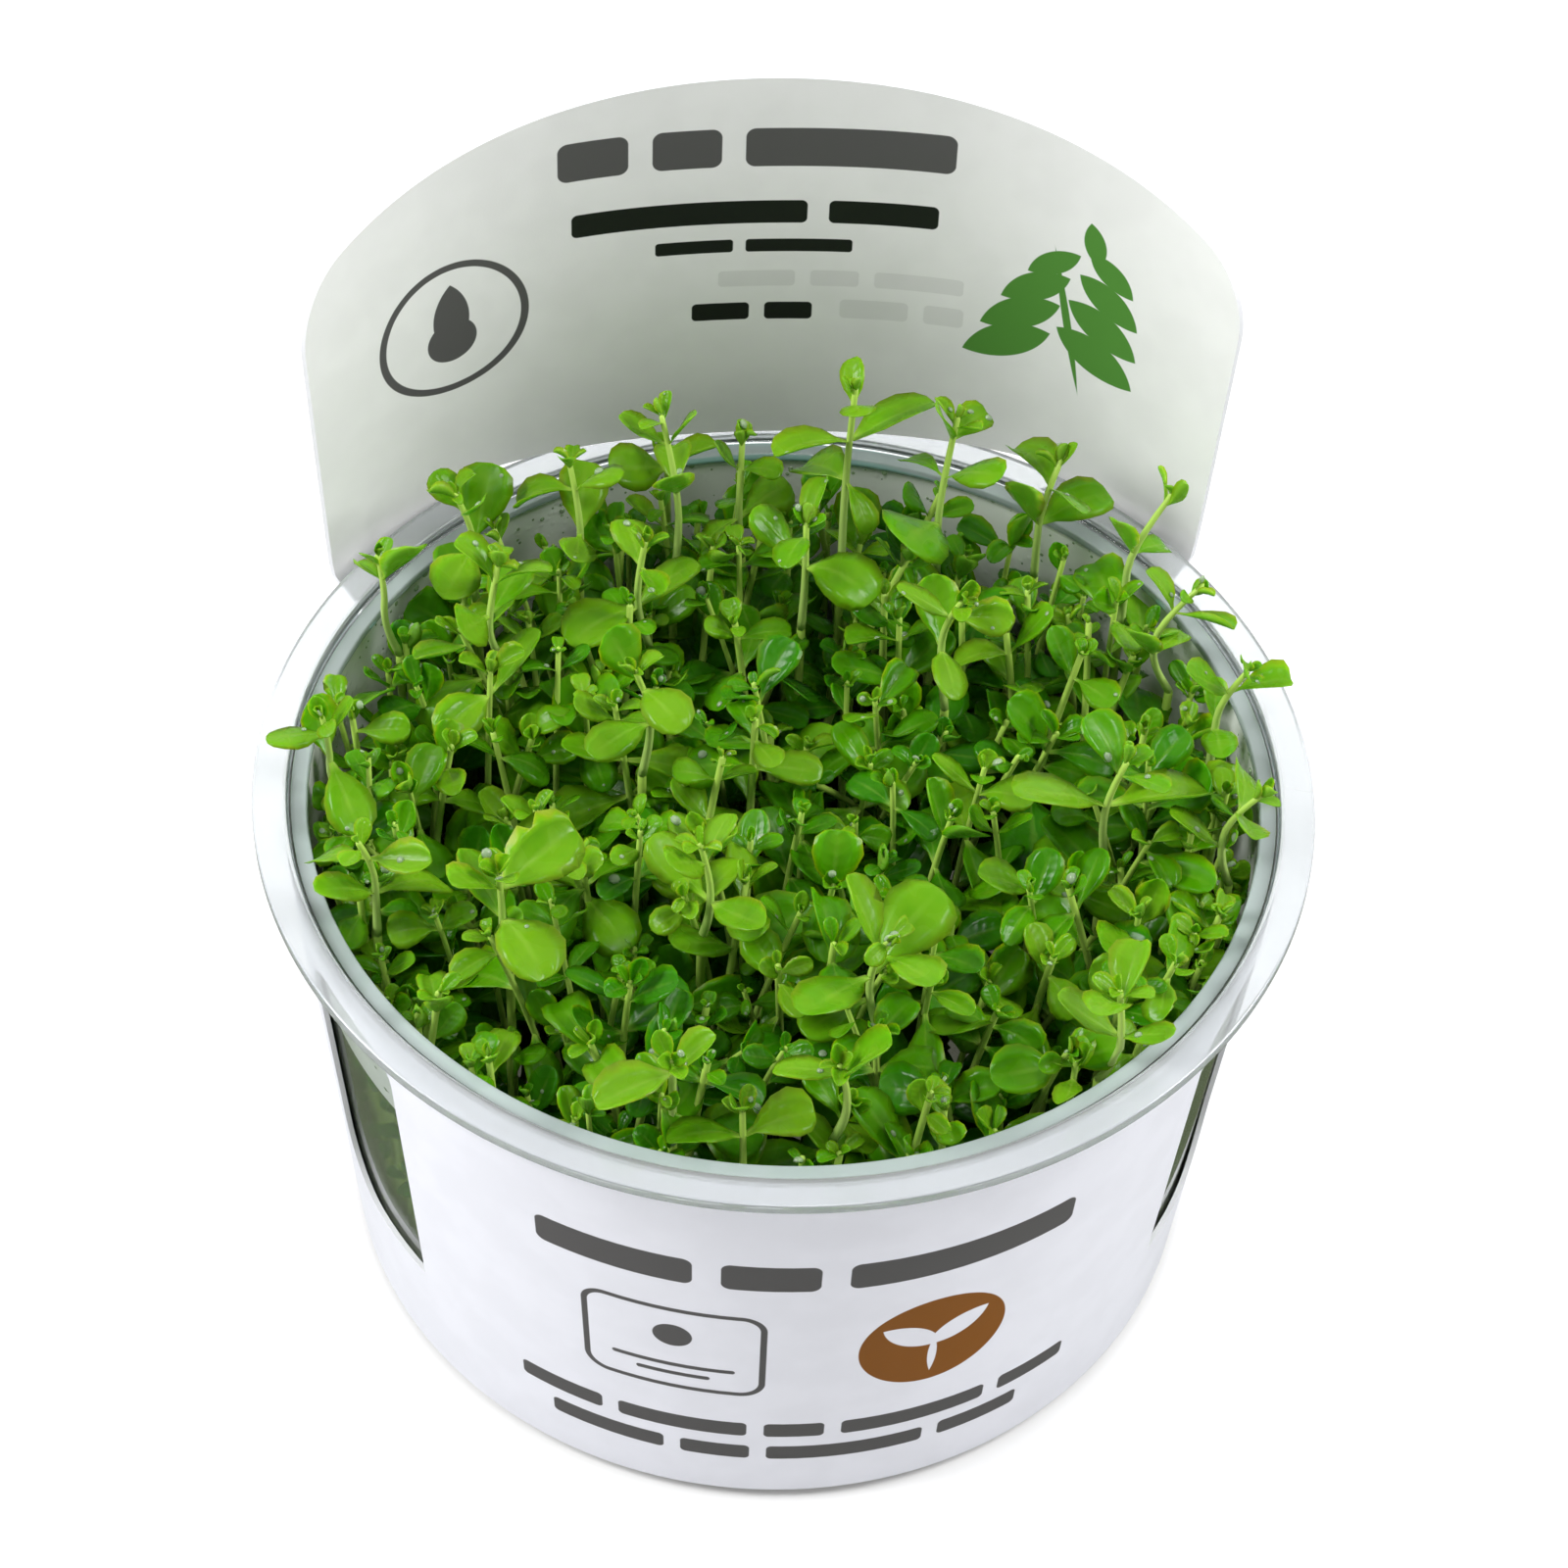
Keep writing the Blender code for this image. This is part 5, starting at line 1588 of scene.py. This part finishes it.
class StageSettings(bpy.types.PropertyGroup):
    """Floor and lights."""

    floor_colour: colour_setting("Floor", "Colour of the floor", (0.80, 0.80, 0.80))
    # painted reflection: the floor's colour in glossy reflections
    painted_floor_reflection: colour_setting("Mirrored floor", "The floor in reflections", (0.055, 0.080, 0.020))
    floor_glow: strength_setting("Floor glow", "Lifts the floor to the camera", 0.15)
    side_strength: strength_setting("Sides", "More light from both sides", 0.30)
    back_strength: strength_setting("Back", "More light from behind", 0.70)
    world_strength: strength_setting("World", "Strength of the white surroundings", 0.28)
    key_power: power_setting("Key", "Power of the left softbox", 7.0)
    fill_power: power_setting("Fill", "Power of the right softbox", 5.9)
    top_power: power_setting("Top", "Power of the softbox overhead", 1.2)


class PLANTCUP_OT_cup(bpy.types.Operator):
    """Build the clear cup"""

    bl_idname = "plantcup.cup"
    bl_label = "Clear cup"

    def execute(self, context):
        build_cup(context.scene.plantcup_cup)
        return {"FINISHED"}


class PLANTCUP_OT_sleeve(bpy.types.Operator):
    """Build the printed card sleeve"""

    bl_idname = "plantcup.sleeve"
    bl_label = "Card sleeve"

    def execute(self, context):
        build_sleeve(context.scene.plantcup_sleeve)
        return {"FINISHED"}


class PLANTCUP_OT_gel(bpy.types.Operator):
    """Build the gel in the bottom of the cup"""

    bl_idname = "plantcup.gel"
    bl_label = "Gel"

    def execute(self, context):
        build_gel(context.scene.plantcup_cup)
        return {"FINISHED"}


class PLANTCUP_OT_plants(bpy.types.Operator):
    """Build the crop and the tall plantlets"""

    bl_idname = "plantcup.plants"
    bl_label = "Plantlets"

    def execute(self, context):
        build_plants(context.scene.plantcup_crop)
        return {"FINISHED"}


class PLANTCUP_OT_wall_dew(bpy.types.Operator):
    """Build the beads of water on the cup's wall"""

    bl_idname = "plantcup.wall_dew"
    bl_label = "Beads of water"

    def execute(self, context):
        build_wall_dew(context.scene.plantcup_crop)
        return {"FINISHED"}


class PLANTCUP_OT_stage(bpy.types.Operator):
    """Build the floor, lights and camera"""

    bl_idname = "plantcup.stage"
    bl_label = "Stage"

    def execute(self, context):
        settings = context.scene.plantcup_stage
        build_floor(settings)
        build_world(settings)
        build_lights(settings)
        build_camera()
        context.scene.view_settings.view_transform = "Standard"
        return {"FINISHED"}


OPERATORS = (
    PLANTCUP_OT_cup,
    PLANTCUP_OT_sleeve,
    PLANTCUP_OT_gel,
    PLANTCUP_OT_plants,
    PLANTCUP_OT_wall_dew,
    PLANTCUP_OT_stage,
)
SETTINGS = {
    "plantcup_cup": CupSettings,
    "plantcup_sleeve": SleeveSettings,
    "plantcup_crop": CropSettings,
    "plantcup_stage": StageSettings,
}


class PLANTCUP_PT_panel(bpy.types.Panel):
    """Lists the pieces in the order they are built"""

    bl_label = "Plant cup"
    bl_space_type = "VIEW_3D"
    bl_region_type = "UI"
    bl_category = "Plant cup"

    def draw(self, context):
        for operator in OPERATORS:
            self.layout.operator(operator.bl_idname)
        for name, group in SETTINGS.items():
            box = self.layout.box()
            for key in group.__annotations__:
                box.prop(getattr(context.scene, name), key)


def register():
    """Add the settings, the operators and the panel to Blender."""
    for group in (*SETTINGS.values(), *OPERATORS, PLANTCUP_PT_panel):
        bpy.utils.register_class(group)
    for name, group in SETTINGS.items():
        setattr(bpy.types.Scene, name, bpy.props.PointerProperty(type=group))


def unregister():
    """Take them out again, last ones first."""
    for name in SETTINGS:
        delattr(bpy.types.Scene, name)
    for group in (PLANTCUP_PT_panel, *OPERATORS, *SETTINGS.values()):
        bpy.utils.unregister_class(group)


def main():
    """Build all pieces in order."""
    register()
    bpy.ops.plantcup.cup()
    bpy.ops.plantcup.sleeve()
    bpy.ops.plantcup.gel()
    bpy.ops.plantcup.plants()
    bpy.ops.plantcup.wall_dew()
    bpy.ops.plantcup.stage()


if __name__ == "__main__":
    main()
